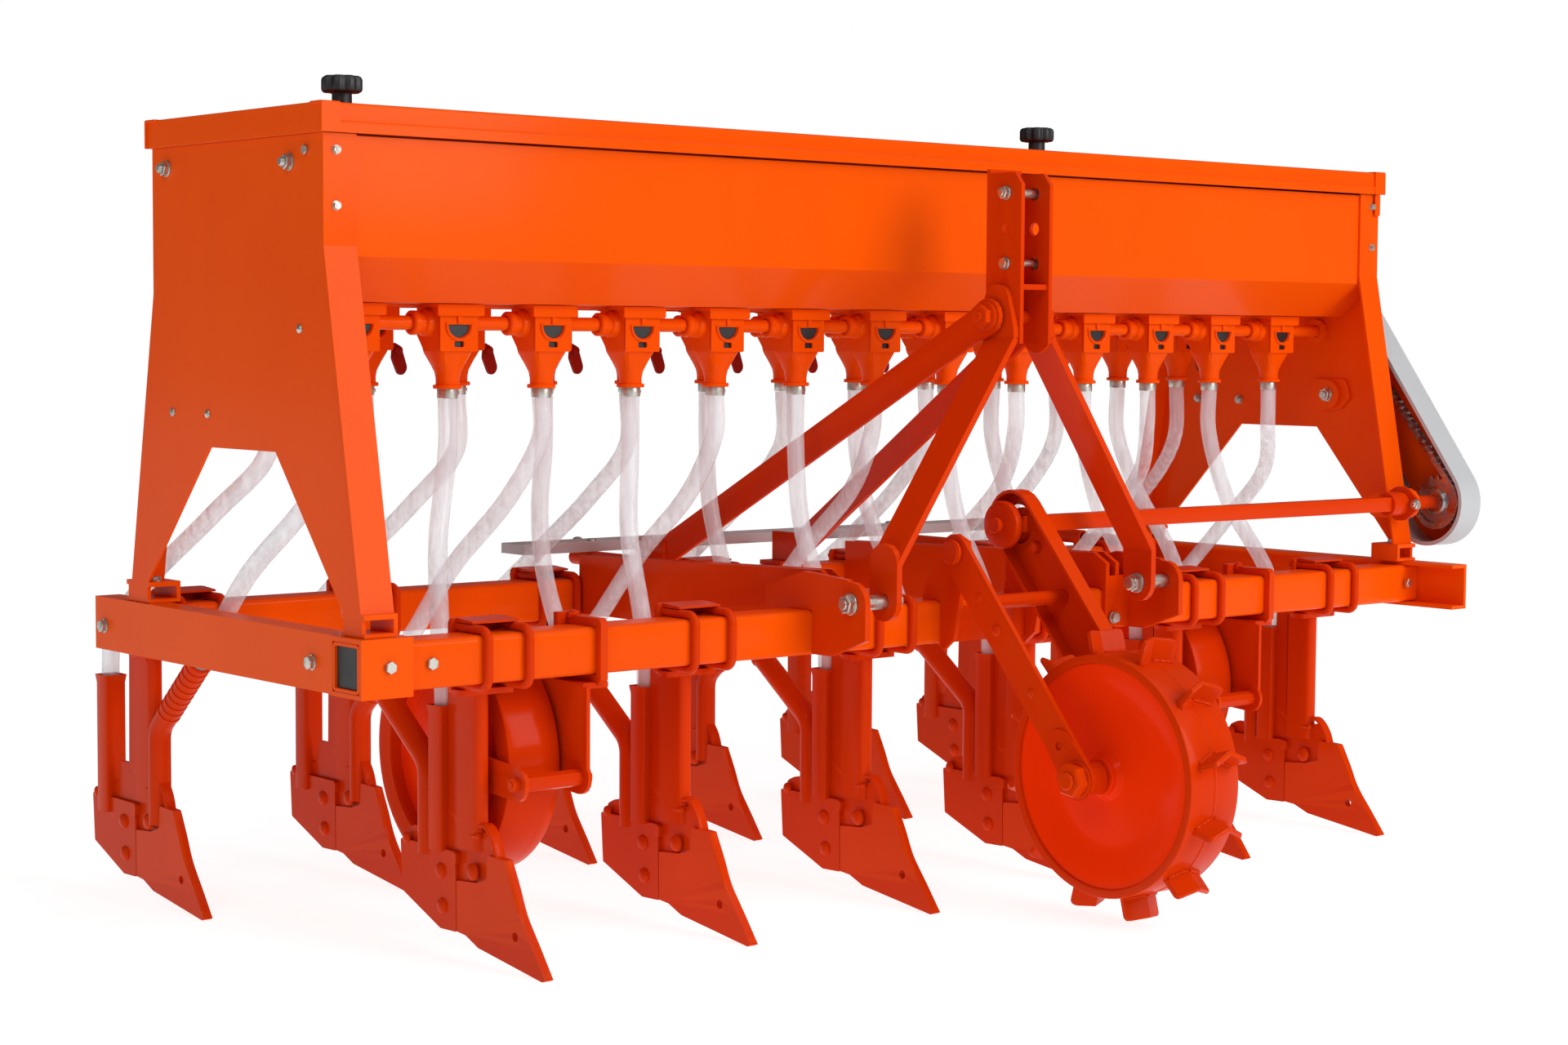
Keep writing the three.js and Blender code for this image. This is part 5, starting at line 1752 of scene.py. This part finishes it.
# ---- chain drive
@dataclass
class ChainDrive:
    """The chain cover at the right end, with the chain and sprockets inside it.

    Attributes:
        low: The middle of its lower end.
        high: The middle of its upper end.
        radii: The radii of its ends.
        drive_axis: The drive shaft's axis, seen from the side.
        seed_axis: The seed feed shaft's axis.
        pitch_radii: The pitch radii of the sprockets on both shafts.
        span: Where it starts and ends across the drill.
        run: How far outside the cover's inner face the chain runs.
        chain_pitch: The distance between two of the chain's rollers.
    """

    low: Flat = (5.0, 560.0)
    high: Flat = (206.0, 862.0)
    radii: Flat = (78.0, 64.0)
    drive_axis: Flat = (0.0, 560.0)
    seed_axis: Flat = (METER_FRONT_Y, FEED_Z)
    pitch_radii: Flat = (44.0, 25.0)
    span: Span = (1106.3, 1164.0)
    run: float = 27.0
    chain_pitch: float = 12.7

    def rim(self) -> Shape:
        """The light rim with a rolled edge.

        Returns:
            The shape.
        """
        shape = Shape()
        outer = link(self.low, self.high, *self.radii, 28)
        inner = link(self.low, self.high, self.radii[0] - 3, self.radii[1] - 3, 28)
        x0, x1 = self.span
        lip = link(self.low, self.high, self.radii[0] - 7, self.radii[1] - 7, 28)
        skins = [[(x0, *p) for p in lip], [(x0, *p) for p in outer],
                 [(x1 - 2, *p) for p in outer], [(x1, *p) for p in inner]]
        bores = [[(x1 - 3.2, *p) for p in inner], [(x0 + 2.4, *p) for p in inner],
                 [(x0 + 2.4, *p) for p in lip]]
        shape.loft([*skins, *bores], closed=True)
        return shape

    def panel(self) -> Shape:
        """The outer panel with a pressed field.

        Returns:
            The shape.
        """
        shape = Shape()
        ring = link(self.low, self.high, self.radii[0] - 2.5, self.radii[1] - 2.5, 28)
        x1 = self.span[1]
        shape.prism(Axis.X, ring, (x1 - 2.6, x1 - 0.6))
        pressed = link(self.low, self.high, self.radii[0] - 26, self.radii[1] - 24, 28)
        shape.prism(Axis.X, pressed, (x1 - 1.4, x1 - 0.2))
        return shape

    def chain(self) -> Shape:
        """The roller chain round both sprockets.

        Returns:
            The shape.
        """
        shape = Shape()
        loop = link(self.drive_axis, self.seed_axis, *self.pitch_radii, 40)
        lengths = [math.dist(a, b) for a, b in zip(loop, [*loop[1:], loop[0]])]
        total, x = sum(lengths), self.span[0] + self.run
        count = 2 * round(total / self.chain_pitch / 2)
        spots, walked, edge = [], 0.0, 0
        for i in range(count):
            goal = total * i / count
            while walked + lengths[edge] < goal:
                walked += lengths[edge]
                edge += 1
            t = (goal - walked) / lengths[edge]
            a, b = Vector(loop[edge]), Vector(loop[(edge + 1) % len(loop)])
            spots.append(a.lerp(b, t))
        for i, spot in enumerate(spots):
            ahead = spots[(i + 1) % count]
            wide = 5.4 if i % 2 else 4.0
            plate = link(tuple(spot), tuple(ahead), 5.4, 5.2, 5)
            for side in (-1, 1):
                shape.prism(Axis.X, plate, (x + side * wide, x + side * (wide + 1.2)))
            shape.rod((x - 7, *spot), (x + 7, *spot), 2.4, 8, 0.3)
        return shape

    def sprocket(self, centre: Flat, radius: float, teeth: int, bore: float) -> Shape:
        """A toothed wheel.

        Args:
            centre: Its middle, seen from the side.
            radius: The pitch radius.
            teeth: How many teeth it has.
            bore: The radius of its hub.

        Returns:
            The shape.
        """
        shape = Shape()
        x, outline = self.span[0] + self.run, []
        for i in range(teeth * 4):
            t = 2 * math.pi * i / (teeth * 4)
            r = radius + (3.0, 3.0, -3.4, -3.4)[i % 4]
            outline.append((centre[0] + r * math.cos(t), centre[1] + r * math.sin(t)))
        shape.prism(Axis.X, outline, (x - 3, x + 3))
        shape.turned((x, *centre), (1, 0, 0), [(0, -9), (bore, -9), (bore + 4, -6), (bore + 4, 6),
                                              (bore, 12), (0, 12)], 28)
        return shape

    def make(self) -> None:
        """Makes the cover, the chain and the sprockets."""
        Piece("chain_cover_rim", Finish.PALE, bevel=0.5).make(self.rim(), "chain_cover")
        Piece("chain_cover_panel", Finish.ORANGE, bevel=0.5).make(self.panel())
        Piece("drive_chain", Finish.STEEL, bevel=0.0).make(self.chain())
        low = self.sprocket(self.drive_axis, self.pitch_radii[0], 20, 20)
        Piece("drive_sprocket", Finish.STEEL, "drive_shaft", 0.4).make(low)
        high = self.sprocket(self.seed_axis, self.pitch_radii[1], 16, 12)
        Piece("seed_sprocket", Finish.STEEL, "seed_shaft", 0.4).make(high)


# ---- drive wheel
@dataclass
class DriveWheel:
    """The lugged ground wheel that turns the feed shafts.

    Attributes:
        y: Its axle, fore and aft.
        z: Its axle's height.
        radius: The radius of its tread.
        half: Half its width.
        lugs: How many lugs it has.
        arm: Where the outer face of its arm lies.
    """

    y: float = -305.0
    z: float = 218.0
    radius: float = 176.0
    half: float = 50.0
    lugs: int = 12
    arm: float = -92.0

    def rim(self) -> Shape:
        """The tread with rolled edges and a welded seam.

        Returns:
            The shape.
        """
        shape, r, half = Shape(), self.radius, self.half
        profile = [
            (r - 13, -half + 1), (r - 6, -half), (r - 1, -half + 0.6), (r, -half + 3),
            (r, -3), (r + 1.2, -1.6), (r + 1.2, 1.6), (r, 3),
            (r, half - 3), (r - 1, half - 0.6), (r - 6, half), (r - 13, half - 1),
            (r - 14, half - 8), (r - 14, -half + 8),
        ]
        shape.turned((0, self.y, self.z), (1, 0, 0), [*profile, profile[0]], 96)
        return shape

    def discs(self) -> Shape:
        """The dished discs and the hub.

        Returns:
            The shape.
        """
        shape, r, half = Shape(), self.radius, self.half
        for side in (-1, 1):
            profile = [
                (13, half + 1), (26, half + 1), (27.5, half), (28, half - 6), (36, half - 13),
                (r * 0.55, half - 15.5), (r * 0.66, half - 15), (r * 0.80, half - 6),
                (r - 13.5, half - 4.5), (r - 13.5, half - 9), (r * 0.66, half - 19), (30, half - 19),
                (13, half - 19), (13, half + 1),
            ]
            shape.turned((0, self.y, self.z), (side, 0, 0), profile, 80)
        return shape

    def cleats(self) -> Shape:
        """The V-shaped lugs, each with its weld.

        Returns:
            The shape.
        """
        shape, r = Shape(), self.radius
        for i in range(self.lugs):
            turn = 2 * math.pi * (i + 0.5) / self.lugs + math.pi / 2
            out = Vector((0, math.cos(turn), math.sin(turn)))
            along = Vector((0, -math.sin(turn), math.cos(turn)))
            centre = Vector((0, self.y, self.z))
            for side in (-1, 1):
                def at(x: float, way: float, up: float) -> Point:
                    """A point of the lug from its place across, along and out of the tread."""
                    return tuple(centre + Vector((x, 0, 0)) + out * (r + up) + along * way)
                loops = []
                for x, lean, tall, thick in ((side * 33.8, 14, 26, 3.2), (side * 33.2, 13.7, 30, 3.8),
                                             (side * 31, 12.8, 33, 4), (side * 27, 11, 34, 4),
                                             (side * 0.0, 0, 34, 4)):
                    loops.append([at(x, lean - thick, -2), at(x, lean + thick, -2),
                                  at(x, lean + thick, tall - 1.5), at(x, lean + thick - 1.5, tall),
                                  at(x, lean - thick + 1.5, tall), at(x, lean - thick, tall - 1.5)])
                shape.loft(loops)
                for way in (-4.5, 4.5):
                    shape.weld(at(side * 2, way, 0.5), at(side * 32, 13 + way, 0.5), 3.2)
        return shape

    def make(self) -> None:
        """Makes the wheel."""
        rim = Piece("drive_wheel_rim", Finish.DEEP, "drive_wheel", 0.7)
        rim.make(self.rim(), "drive_wheel")
        # The discs wear the painted-shade copy of the enamel.
        Piece("drive_wheel_discs", Finish.SHADE, "drive_wheel", 0.7).make(self.discs())
        Piece("drive_wheel_lugs", Finish.DEEP, "drive_wheel", 0.8).make(self.cleats())


# ---- wheel frame
@dataclass
class WheelFrame:
    """The swinging frame of the drive wheel, its axle nut and pins, and the drive shaft.

    Attributes:
        wheel: The wheel it carries.
        pivot: The pivot of its arms, seen from the side.
        shaft: The axis of the drive shaft, seen from the side.
        case: The outer face of the chain case.
        bearing: The inner face of the shaft's right-hand bearing flange.
    """

    wheel: DriveWheel
    pivot: Flat = (-42.0, 527.0)
    shaft: Flat = (0.0, 560.0)
    case: float = 88.0
    bearing: float = 1028.5

    def on_arm(self, distance: float) -> Flat:
        """A place on the line from the axle to the pivot, seen from the side.

        Args:
            distance: Its distance from the axle.

        Returns:
            The place.
        """
        y, z = self.wheel.y, self.wheel.z
        lean = math.atan2(self.pivot[1] - z, self.pivot[0] - y)
        return (y + distance * math.cos(lean), z + distance * math.sin(lean))

    def arm_hardware(self) -> Shape:
        """The link plate and washer of the axle.

        Returns:
            The shape.
        """
        shape, wheel = Shape(), self.wheel
        y, z, x = wheel.y, wheel.z, wheel.arm
        end = self.on_arm(58)
        plate = link((y, z), end, 30, 24, 18)
        shape.prism(Axis.X, plate, (x - 3.4, x + 0.5), [circle(*end, 6.5, 20)])
        shape.turned((x - 3, y, z), (-1, 0, 0), [(0, 0), (27, 0), (27, 2.2), (26, 3), (0, 3)], 36)
        return shape

    def axle_nut(self) -> Shape:
        """The large nut and the threaded end of the axle.

        Returns:
            The shape.
        """
        shape, wheel = Shape(), self.wheel
        x = wheel.arm - 6
        shape.bolt((x + 0.4, wheel.y, wheel.z), (-1, 0, 0), 26, washer=False, stud=6, twist=0.9)
        return shape

    def pivot_hardware(self) -> Shape:
        """The washer and bolts of the pivots, and the small bolts along arm and case.

        Returns:
            The shape.
        """
        shape = Shape()
        y, z = self.pivot
        x = self.wheel.arm
        shape.turned((x - 7.5, y, z), (-1, 0, 0), [(0, 0), (17, 0), (17, 1.5), (16, 2.4), (0, 2.4)],
                     36)
        shape.bolt((self.case + 12.2, y, z), (1, 0, 0), 11, stud=4, twist=0.5)
        for along, size in ((150, 7), (262, 9), (322, 6)):
            spot = (x + 0.3, *self.on_arm(along))
            shape.bolt(spot, (-1, 0, 0), size, washer=False, domed=True)
        for along in (120, 238):
            u, v = self.on_arm(along)
            shape.bolt((self.case - 0.2, u - 6, v + 8), (1, 0, 0), 7, twist=along)
        return shape

    def cap(self) -> Shape:
        """The domed cap on the drive shaft beside the case, with its middle bolt.

        Returns:
            The shape.
        """
        shape = Shape()
        y, z = self.shaft
        shape.turned((46, y, z), (-1, 0, 0), [
            (12, -12), (34, -12), (36.5, -10), (37, -2), (35.5, 1.5), (31, 4), (18, 6.5), (0, 7.4)],
            48)
        shape.bolt((39, y, z), (-1, 0, 0), 12, domed=True)
        return shape

    def shaft_end(self) -> Shape:
        """The collar at the right end of the drive shaft.

        Returns:
            The shape.
        """
        shape = Shape()
        y, z = self.shaft
        collar = [(12, -30), (20, -30), (21, -28.5), (21, 10), (12, 10)]
        shape.turned((self.bearing - 10.5, y, z), (1, 0, 0), collar, 40)
        return shape

    def flange(self) -> Shape:
        """The bearing's flange plate.

        Returns:
            The shape.
        """
        shape = Shape()
        y, z = self.shaft
        outline = rounded([(y - 46, z, 12), (y - 12, z + 30, 26), (y + 12, z + 30, 26),
                           (y + 46, z, 12), (y + 12, z - 30, 26), (y - 12, z - 30, 26)], 8)
        shape.prism(Axis.X, outline, (self.bearing, self.bearing + 6), [circle(y, z, 17.5, 32)])
        return shape

    def flange_bolts(self) -> Shape:
        """The bolts of the bearing's flange.

        Returns:
            The shape.
        """
        shape = Shape()
        y, z = self.shaft
        for side in (-1, 1):
            shape.bolt((self.bearing + 0.2, y + side * 34, z), (-1, 0, 0), 9, stud=4, twist=side)
        return shape

    def bar(self) -> Shape:
        """The square drive shaft with turned ends.

        Returns:
            The shape.
        """
        shape = Shape()
        y, z = self.shaft
        x0, x1 = reach(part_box("drive_shaft"), Axis.X)
        section = rectangle((y - 12.4, y + 12.4), (z - 12.4, z + 12.4), 1.6, 4)
        shape.prism(Axis.X, section, (x0 + 14, 1024))
        shape.rod((x0, y, z), (x0 + 30, y, z), 12.2, 32, 1.5)
        shape.rod((1010, y, z), (x1, y, z), 12.2, 32, 1.5)
        return shape

    def make(self) -> None:
        """Makes the frame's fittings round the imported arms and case."""
        carry_over("wheel_frame", Finish.DEEP, 1.4)
        carry_over("wheel_bracket", Finish.DEEP, 1.4)
        link_plate = Piece("axle_link_plate", Finish.DEEP, "wheel_swing", 0.6)
        link_plate.make(self.arm_hardware())
        Piece("axle_nut", Finish.DEEP, "wheel_swing", 0.0).make(self.axle_nut())
        pins = Piece("wheel_frame_pins", Finish.DEEP, bevel=0.0)
        pins.make(self.pivot_hardware())
        Piece("drive_shaft_bar", Finish.DEEP, "drive_shaft", 0.5).make(self.bar(), "drive_shaft")
        Piece("drive_shaft_cap", Finish.DEEP, "drive_shaft", 0.6).make(self.cap())
        Piece("drive_shaft_collar", Finish.DEEP, "drive_shaft", 0.5).make(self.shaft_end())
        Piece("drive_bearing_flange", Finish.DEEP, bevel=0.7).make(self.flange())
        Piece("drive_bearing_bolts", Finish.ZINC, bevel=0.0).make(self.flange_bolts())


# ---- depth wheels
@dataclass
class DepthWheel:
    """One depth wheel, with its fork and the bolts on it.

    Attributes:
        side: Which of the two it is.
        x: Its middle plane.
        y: Its axle, fore and aft.
        z: Its axle's height.
        radius: The radius of its tread.
        half: Half its width.
    """

    side: str
    x: float
    y: float = 209.0
    z: float = 260.0
    radius: float = 167.0
    half: float = 43.0

    def tyre(self) -> Shape:
        """The steel tread with its rolled edges and raised ridge.

        Returns:
            The shape.
        """
        shape, r, half = Shape(), self.radius, self.half
        profile = [
            (r * 0.805, -half + 5), (r * 0.815, -half + 1), (r - 7, -half + 0.3), (r - 1.6, -half + 1.2),
            (r, -half + 4), (r, half - 24), (r - 0.1, half - 21.5), (r, half - 20.5),
            (r, half - 4), (r - 1.6, half - 1.2), (r - 7, half - 0.3), (r * 0.815, half - 1),
            (r * 0.805, half - 5), (r * 0.80, half - 9), (r * 0.80, -half + 9),
        ]
        shape.turned((self.x, self.y, self.z), (1, 0, 0), [*profile, profile[0]], 96)
        return shape

    def disc(self) -> Shape:
        """The inset disc, its stepped ring and hub.

        Returns:
            The shape.
        """
        shape, r, half = Shape(), self.radius, self.half
        for side in (-1, 1):
            profile = [
                (11, half - 3), (24, half - 3), (25.5, half - 4), (26, half - 13), (30, half - 15),
                (r * 0.60, half - 15), (r * 0.635, half - 16), (r * 0.65, half - 21),
                (r * 0.79, half - 21), (r * 0.805, half - 18), (r * 0.805, half - 25),
                (11, half - 25), (11, half - 3),
            ]
            shape.turned((self.x, self.y, self.z), (side, 0, 0), profile, 80)
        return shape

    def fork_hardware(self) -> Shape:
        """The bolts at the fork's ends and on the clamp.

        Returns:
            The shape.
        """
        shape = Shape()
        for side in (-1, 1):
            face = self.x + side * (self.half + 11.5)
            shape.bolt((face + side * 0.3, self.y, self.z), (side, 0, 0), 12, stud=5, twist=side)
            shape.bolt((face + side * 0.3, 8, 245), (side, 0, 0), 10, stud=3, twist=side + 0.4)
        clamp = self.x + 76.5
        for z, drop, way in ((376, 3, -1), (459, 0, 1)):
            shape.bolt((clamp, 62, z - drop), (0, 0, way), 8, stud=4, twist=z)
        return shape

    def make(self) -> None:
        """Makes the wheel and the hardware of its fork."""
        body = f"{self.side}_depth_wheel"
        tyre = Piece(f"depth_tyre_{self.side}", Finish.DEEP, body, 0.7)
        tyre.make(self.tyre(), f"depth_wheel_{self.side}")
        # The disc wears the painted-shade copy of the enamel.
        Piece(f"depth_disc_{self.side}", Finish.SHADE, body, 0.6).make(self.disc())
        carry_over(f"depth_fork_{self.side}", Finish.DEEP, 1.2)
        Piece(f"depth_bolts_{self.side}", Finish.DEEP, bevel=0.0).make(self.fork_hardware())


# ---- hitch
@dataclass
class Hitch:
    """The three-point hitch: mast, legs and braces, pins with their bolts.

    Attributes:
        gap: Half the gap between the mast plates.
        plate: Their thickness.
        pin_y: Where the top-link holes lie.
        apex: The apex bolt, seen from the side.
        lower: The lower pins, seen from the side.
        holes: The heights of the two bolted holes of the mast.
    """

    gap: float = 26.0
    plate: float = 7.0
    pin_y: float = -84.0
    apex: Flat = (-68.0, 878.0)
    lower: Flat = (-85.0, 466.0)
    holes: Flat = (1061.0, 957.0)

    def zinc(self) -> Shape:
        """The zinc bolts of the mast and the rod between them.

        Returns:
            The shape.
        """
        shape = Shape()
        face = self.gap + self.plate
        for side in (-1, 1):
            at = (side * (face + 0.3), self.pin_y, self.holes[1])
            shape.bolt(at, (side, 0, 0), 9, stud=0 if side < 0 else 4, twist=0.2)
        ends = [(side * face, self.pin_y, self.holes[1]) for side in (-1, 1)]
        shape.rod(*ends, 5.5, 20)
        return shape

    def top_pin(self) -> Shape:
        """The top-link pin: a long bolt with a washer under its head.

        Returns:
            The shape.
        """
        shape = Shape()
        face, z = self.gap + self.plate, self.holes[0]
        shape.rod((-face - 14, self.pin_y, z), (face + 12, self.pin_y, z), 6.2, 28, 1.2)
        shape.bolt((-face - 0.3, self.pin_y, z), (-1, 0, 0), 10, twist=0.1)
        shape.bolt((face + 0.3, self.pin_y, z), (1, 0, 0), 9, stud=4, twist=0.4)
        return shape

    def apex_bolt(self) -> Shape:
        """The washers and nuts of the apex bolt.

        Returns:
            The shape.
        """
        shape = Shape()
        y, z = self.apex
        for side in (-1, 1):
            face = self.gap + self.plate + 24.4
            shape.turned((side * face, y, z), (side, 0, 0), [
                (0, -2), (22, -2), (22, 1.6), (20.5, 2.6), (0, 2.6)], 36)
            shape.bolt((side * (face + 2.5), y, z), (side, 0, 0), 15, washer=False, stud=6,
                       twist=0.35)
        return shape

    def lower_pin(self, side: int) -> Shape:
        """A lower pin: a plain shank with chamfered ends.

        Args:
            side: -1 for the left one, 1 for the right one.

        Returns:
            The shape.
        """
        shape = Shape()
        low, high = reach(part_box(f"lower_pin_{'left' if side < 0 else 'right'}"), Axis.X)
        y, z = self.lower
        shape.rod((low + 0.4, y, z), (high - 0.4, y, z), 10.8, 32, 2)
        return shape

    def lower_bolts(self, side: int) -> Shape:
        """The nut and washer of a lower pin and the bolts of the clevis.

        Args:
            side: -1 for the left one, 1 for the right one.

        Returns:
            The shape.
        """
        shape = Shape()
        y, z = self.lower
        shape.bolt((side * 261.6, y, z), (-side, 0, 0), 15, stud=5, twist=0.5)
        shape.bolt((side * 334.4, y, z), (side, 0, 0), 15, stud=5, twist=0.2)
        shape.bolt((side * 287, -12.3, 404), (0, -1, 0), 9, twist=0.2)
        return shape

    def make(self) -> None:
        """Makes the hitch."""
        carry_over("hitch_mast", Finish.DEEP, 1.2)
        for side, name in ((-1, "left"), (1, "right")):
            for node in (f"hitch_leg_{name}", f"rear_brace_{name}", f"lower_hitch_{name}"):
                carry_over(node, Finish.DEEP, 1.3)
            pin = Piece(f"lower_hitch_pin_{name}", Finish.ZINC, bevel=0.0)
            pin.make(self.lower_pin(side), f"lower_pin_{name}")
            Piece(f"lower_hitch_bolts_{name}", Finish.ZINC, bevel=0.0).make(self.lower_bolts(side))
        Piece("top_link_bolt", Finish.ZINC, bevel=0.0).make(self.top_pin(), "top_link_pin")
        Piece("mast_bolts", Finish.ZINC, bevel=0.0).make(self.zinc())
        Piece("apex_fittings", Finish.DEEP, bevel=0.0).make(self.apex_bolt())


# ---- footboard
@dataclass
class Footboard:
    """The narrow board behind the openers on its three pipes.

    Attributes:
        y: The middle of the board.
        span: Where it starts and ends across the drill.
        pipes: The middles of its pipes.
    """

    y: float = 758.0
    span: Span = (-340.0, 1040.0)
    pipes: tuple[float, ...] = (-192.0, 520.0, 867.0)

    def plank(self) -> Shape:
        """The plank: a folded sheet with pressed ribs.

        Returns:
            The shape.
        """
        shape = Shape()
        y0, y1, x0, x1 = self.y - 32, self.y + 32, *self.span
        skin = [(y0 + 0.3, 483.6), (y0 + 0.3, 501, 2.5), (y1 - 0.3, 501, 2.5), (y1 - 0.3, 483.6),
                (y1 - 2.5, 483.6), (y1 - 2.5, 498.6, 1), (y0 + 2.5, 498.6, 1), (y0 + 2.5, 483.6)]
        shape.prism(Axis.X, rounded(skin, 4), (x0 + 0.4, x1 - 0.4))
        for x in (x0, x1 - 2.6):
            shape.box((x + 0.2, x + 2.4), (y0 + 1, y1 - 1), (484, 500.4))
        for along in (-14, 0, 14):
            rib = rectangle((x0 + 24, x1 - 24), (self.y + along - 3, self.y + along + 3), 3, 6)
            shape.prism(Axis.Z, rib, (500.2, 502.2))
        shape.box((x0 + 3, x1 - 3), (y0 + 8, y1 - 8), (483.4, 486))
        return shape

    def bolts(self) -> Shape:
        """The domed bolts that hold the plank to its pipes.

        Returns:
            The shape.
        """
        shape = Shape()
        for x in self.pipes:
            for y in (self.y - 20, self.y + 20):
                shape.bolt((x, y, 501), (0, 0, 1), 8, domed=True, twist=x)
        return shape

    def make(self) -> None:
        """Makes the board."""
        Piece("rear_plank", Finish.PALE, bevel=0.5).make(self.plank(), "rear_footboard")
        pipes = Shape()
        low, high = reach(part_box("rear_footboard"), Axis.Y)
        for x in self.pipes:
            path = [Vector((x, low + 0.3, 471.3)), Vector((x, high - 4, 471.3))]
            pipes.pipe(path, 12.9, 10.6, 28)
        Piece("footboard_pipes", Finish.DEEP, bevel=0.4).make(pipes)
        Piece("footboard_bolts", Finish.ZINC, bevel=0.0).make(self.bolts())


WHEEL = DriveWheel()
ASSEMBLIES = (Hoses(), FrameBars(), Openers(), Hopper(), Meters(), ChainDrive(), WHEEL,
              WheelFrame(WHEEL), DepthWheel("left", -792.0), DepthWheel("right", 595.0),
              Hitch(), Footboard())


# ---- studio
@dataclass(frozen=True)
class Studio:
    """The plain floor, the soft light and the camera.

    Attributes:
        eye: The camera's place, in mm of the drill's frame.
        heading: Its heading to the right of straight ahead, in degrees.
        fall: How far it looks down, in degrees.
        roll: How far it is turned about its own axis, in degrees.
        lens: Its focal length in mm.
        ambient: The strength of the white surroundings as a light.
    """

    eye: Point = (-2941.6, -3043.0, 846.1)
    heading: float = 40.0
    fall: float = 3.83
    roll: float = 0.38
    lens: float = 63.75
    ambient: float = 0.14

    def camera(self) -> None:
        """Sets up the camera."""
        data = bpy.data.cameras.new("camera")
        data.lens = self.lens
        data.sensor_width = 36.0
        data.clip_end = 60.0
        camera = added("camera", data)
        heading, fall, roll = (math.radians(a) for a in (self.heading, self.fall, self.roll))
        ahead = Vector((
            math.sin(heading) * math.cos(fall),
            math.cos(heading) * math.cos(fall),
            -math.sin(fall),
        ))
        right = Vector((math.cos(heading), -math.sin(heading), 0.0))
        up = right.cross(ahead)
        across = right * math.cos(roll) + up * math.sin(roll)
        upward = up * math.cos(roll) - right * math.sin(roll)
        turn = Matrix((across, upward, -ahead)).transposed().to_4x4()
        camera.matrix_world = Matrix.Translation(DATUM.metres(self.eye)) @ turn
        bpy.context.scene.camera = camera

    def floor(self) -> None:
        """Lays a wide pale floor."""
        mesh = bpy.data.meshes.new("floor")
        bm = bmesh.new()
        bmesh.ops.create_grid(bm, x_segments=24, y_segments=24, size=26.0)
        bm.to_mesh(mesh)
        bm.free()
        shader = Shader("pale floor")
        tone = shader.blend(shader.noise(0.6, 2), (0.35, 0.35, 0.35), (0.34, 0.34, 0.34))
        shader.dress(
            Base_Color=tone,
            Roughness=shader.noise(30, 3) * 0.1 + 0.6,
            Specular_IOR_Level=0.1,
            Emission_Color=tone,
            Emission_Strength=2.5,
        )
        mesh.materials.append(shader.material)
        floor = added("floor", mesh)

    def sky(self) -> None:
        """Surrounds the drill with even white light."""
        world = bpy.data.worlds.new("studio white")
        world.use_nodes = True
        tree = world.node_tree
        background = tree.nodes["Background"]
        background.inputs["Color"].default_value = (1.0, 1.0, 1.0, 1.0)
        ray = tree.nodes.new("ShaderNodeLightPath")
        strength = tree.nodes.new("ShaderNodeMapRange")
        strength.inputs["To Min"].default_value = self.ambient
        strength.inputs["To Max"].default_value = 1.0
        tree.links.new(ray.outputs["Is Camera Ray"], strength.inputs["Value"])
        tree.links.new(strength.outputs["Result"], background.inputs["Strength"])
        bpy.context.scene.world = world

    def lamp(self, name: str, place: Point, target: Point, size: float, power: float) -> None:
        """Hangs one soft box.

        Args:
            name: The lamp's name.
            place: Where it hangs, in metres.
            target: Where it points.
            size: The side of its square face, in metres.
            power: Its power in watts.
        """
        data = bpy.data.lights.new(name, "AREA")
        data.size = size
        data.energy = power
        lamp = added(name, data)
        lamp.location = place
        way = Vector(target) - Vector(place)
        lamp.rotation_euler = way.to_track_quat("-Z", "Y").to_euler()

    def sun(self, strength: float) -> None:
        """Lights the floor evenly from above through a wide soft source.

        Args:
            strength: The light's strength.
        """
        data = bpy.data.lights.new("overhead light", "SUN")
        data.energy = strength
        data.angle = math.radians(70)
        sun = added("overhead light", data)
        sun.rotation_euler = (math.radians(24), math.radians(10), 0.0)

    def make(self) -> None:
        """Makes the whole studio."""
        self.camera()
        self.floor()
        self.sky()
        self.lamp("front soft box", (1.2, -5.0, 2.6), (0.0, 0.0, 0.8), 2.8, 150.0)
        self.lamp("left soft box", (-4.5, -2.0, 3.4), (-1.1, 0.0, 0.9), 1.6, 36.0)
        self.sun(0.9)
        bpy.context.scene.view_settings.view_transform = "Standard"


def main() -> None:
    """Builds the studio, the hoses and every sub-assembly, and reports each piece."""
    logging.basicConfig(level=logging.INFO, format="%(name)s: %(message)s")
    Studio().make()
    for assembly in ASSEMBLIES:
        assembly.make()
    log.info("done")


if __name__ == "__main__":
    main()
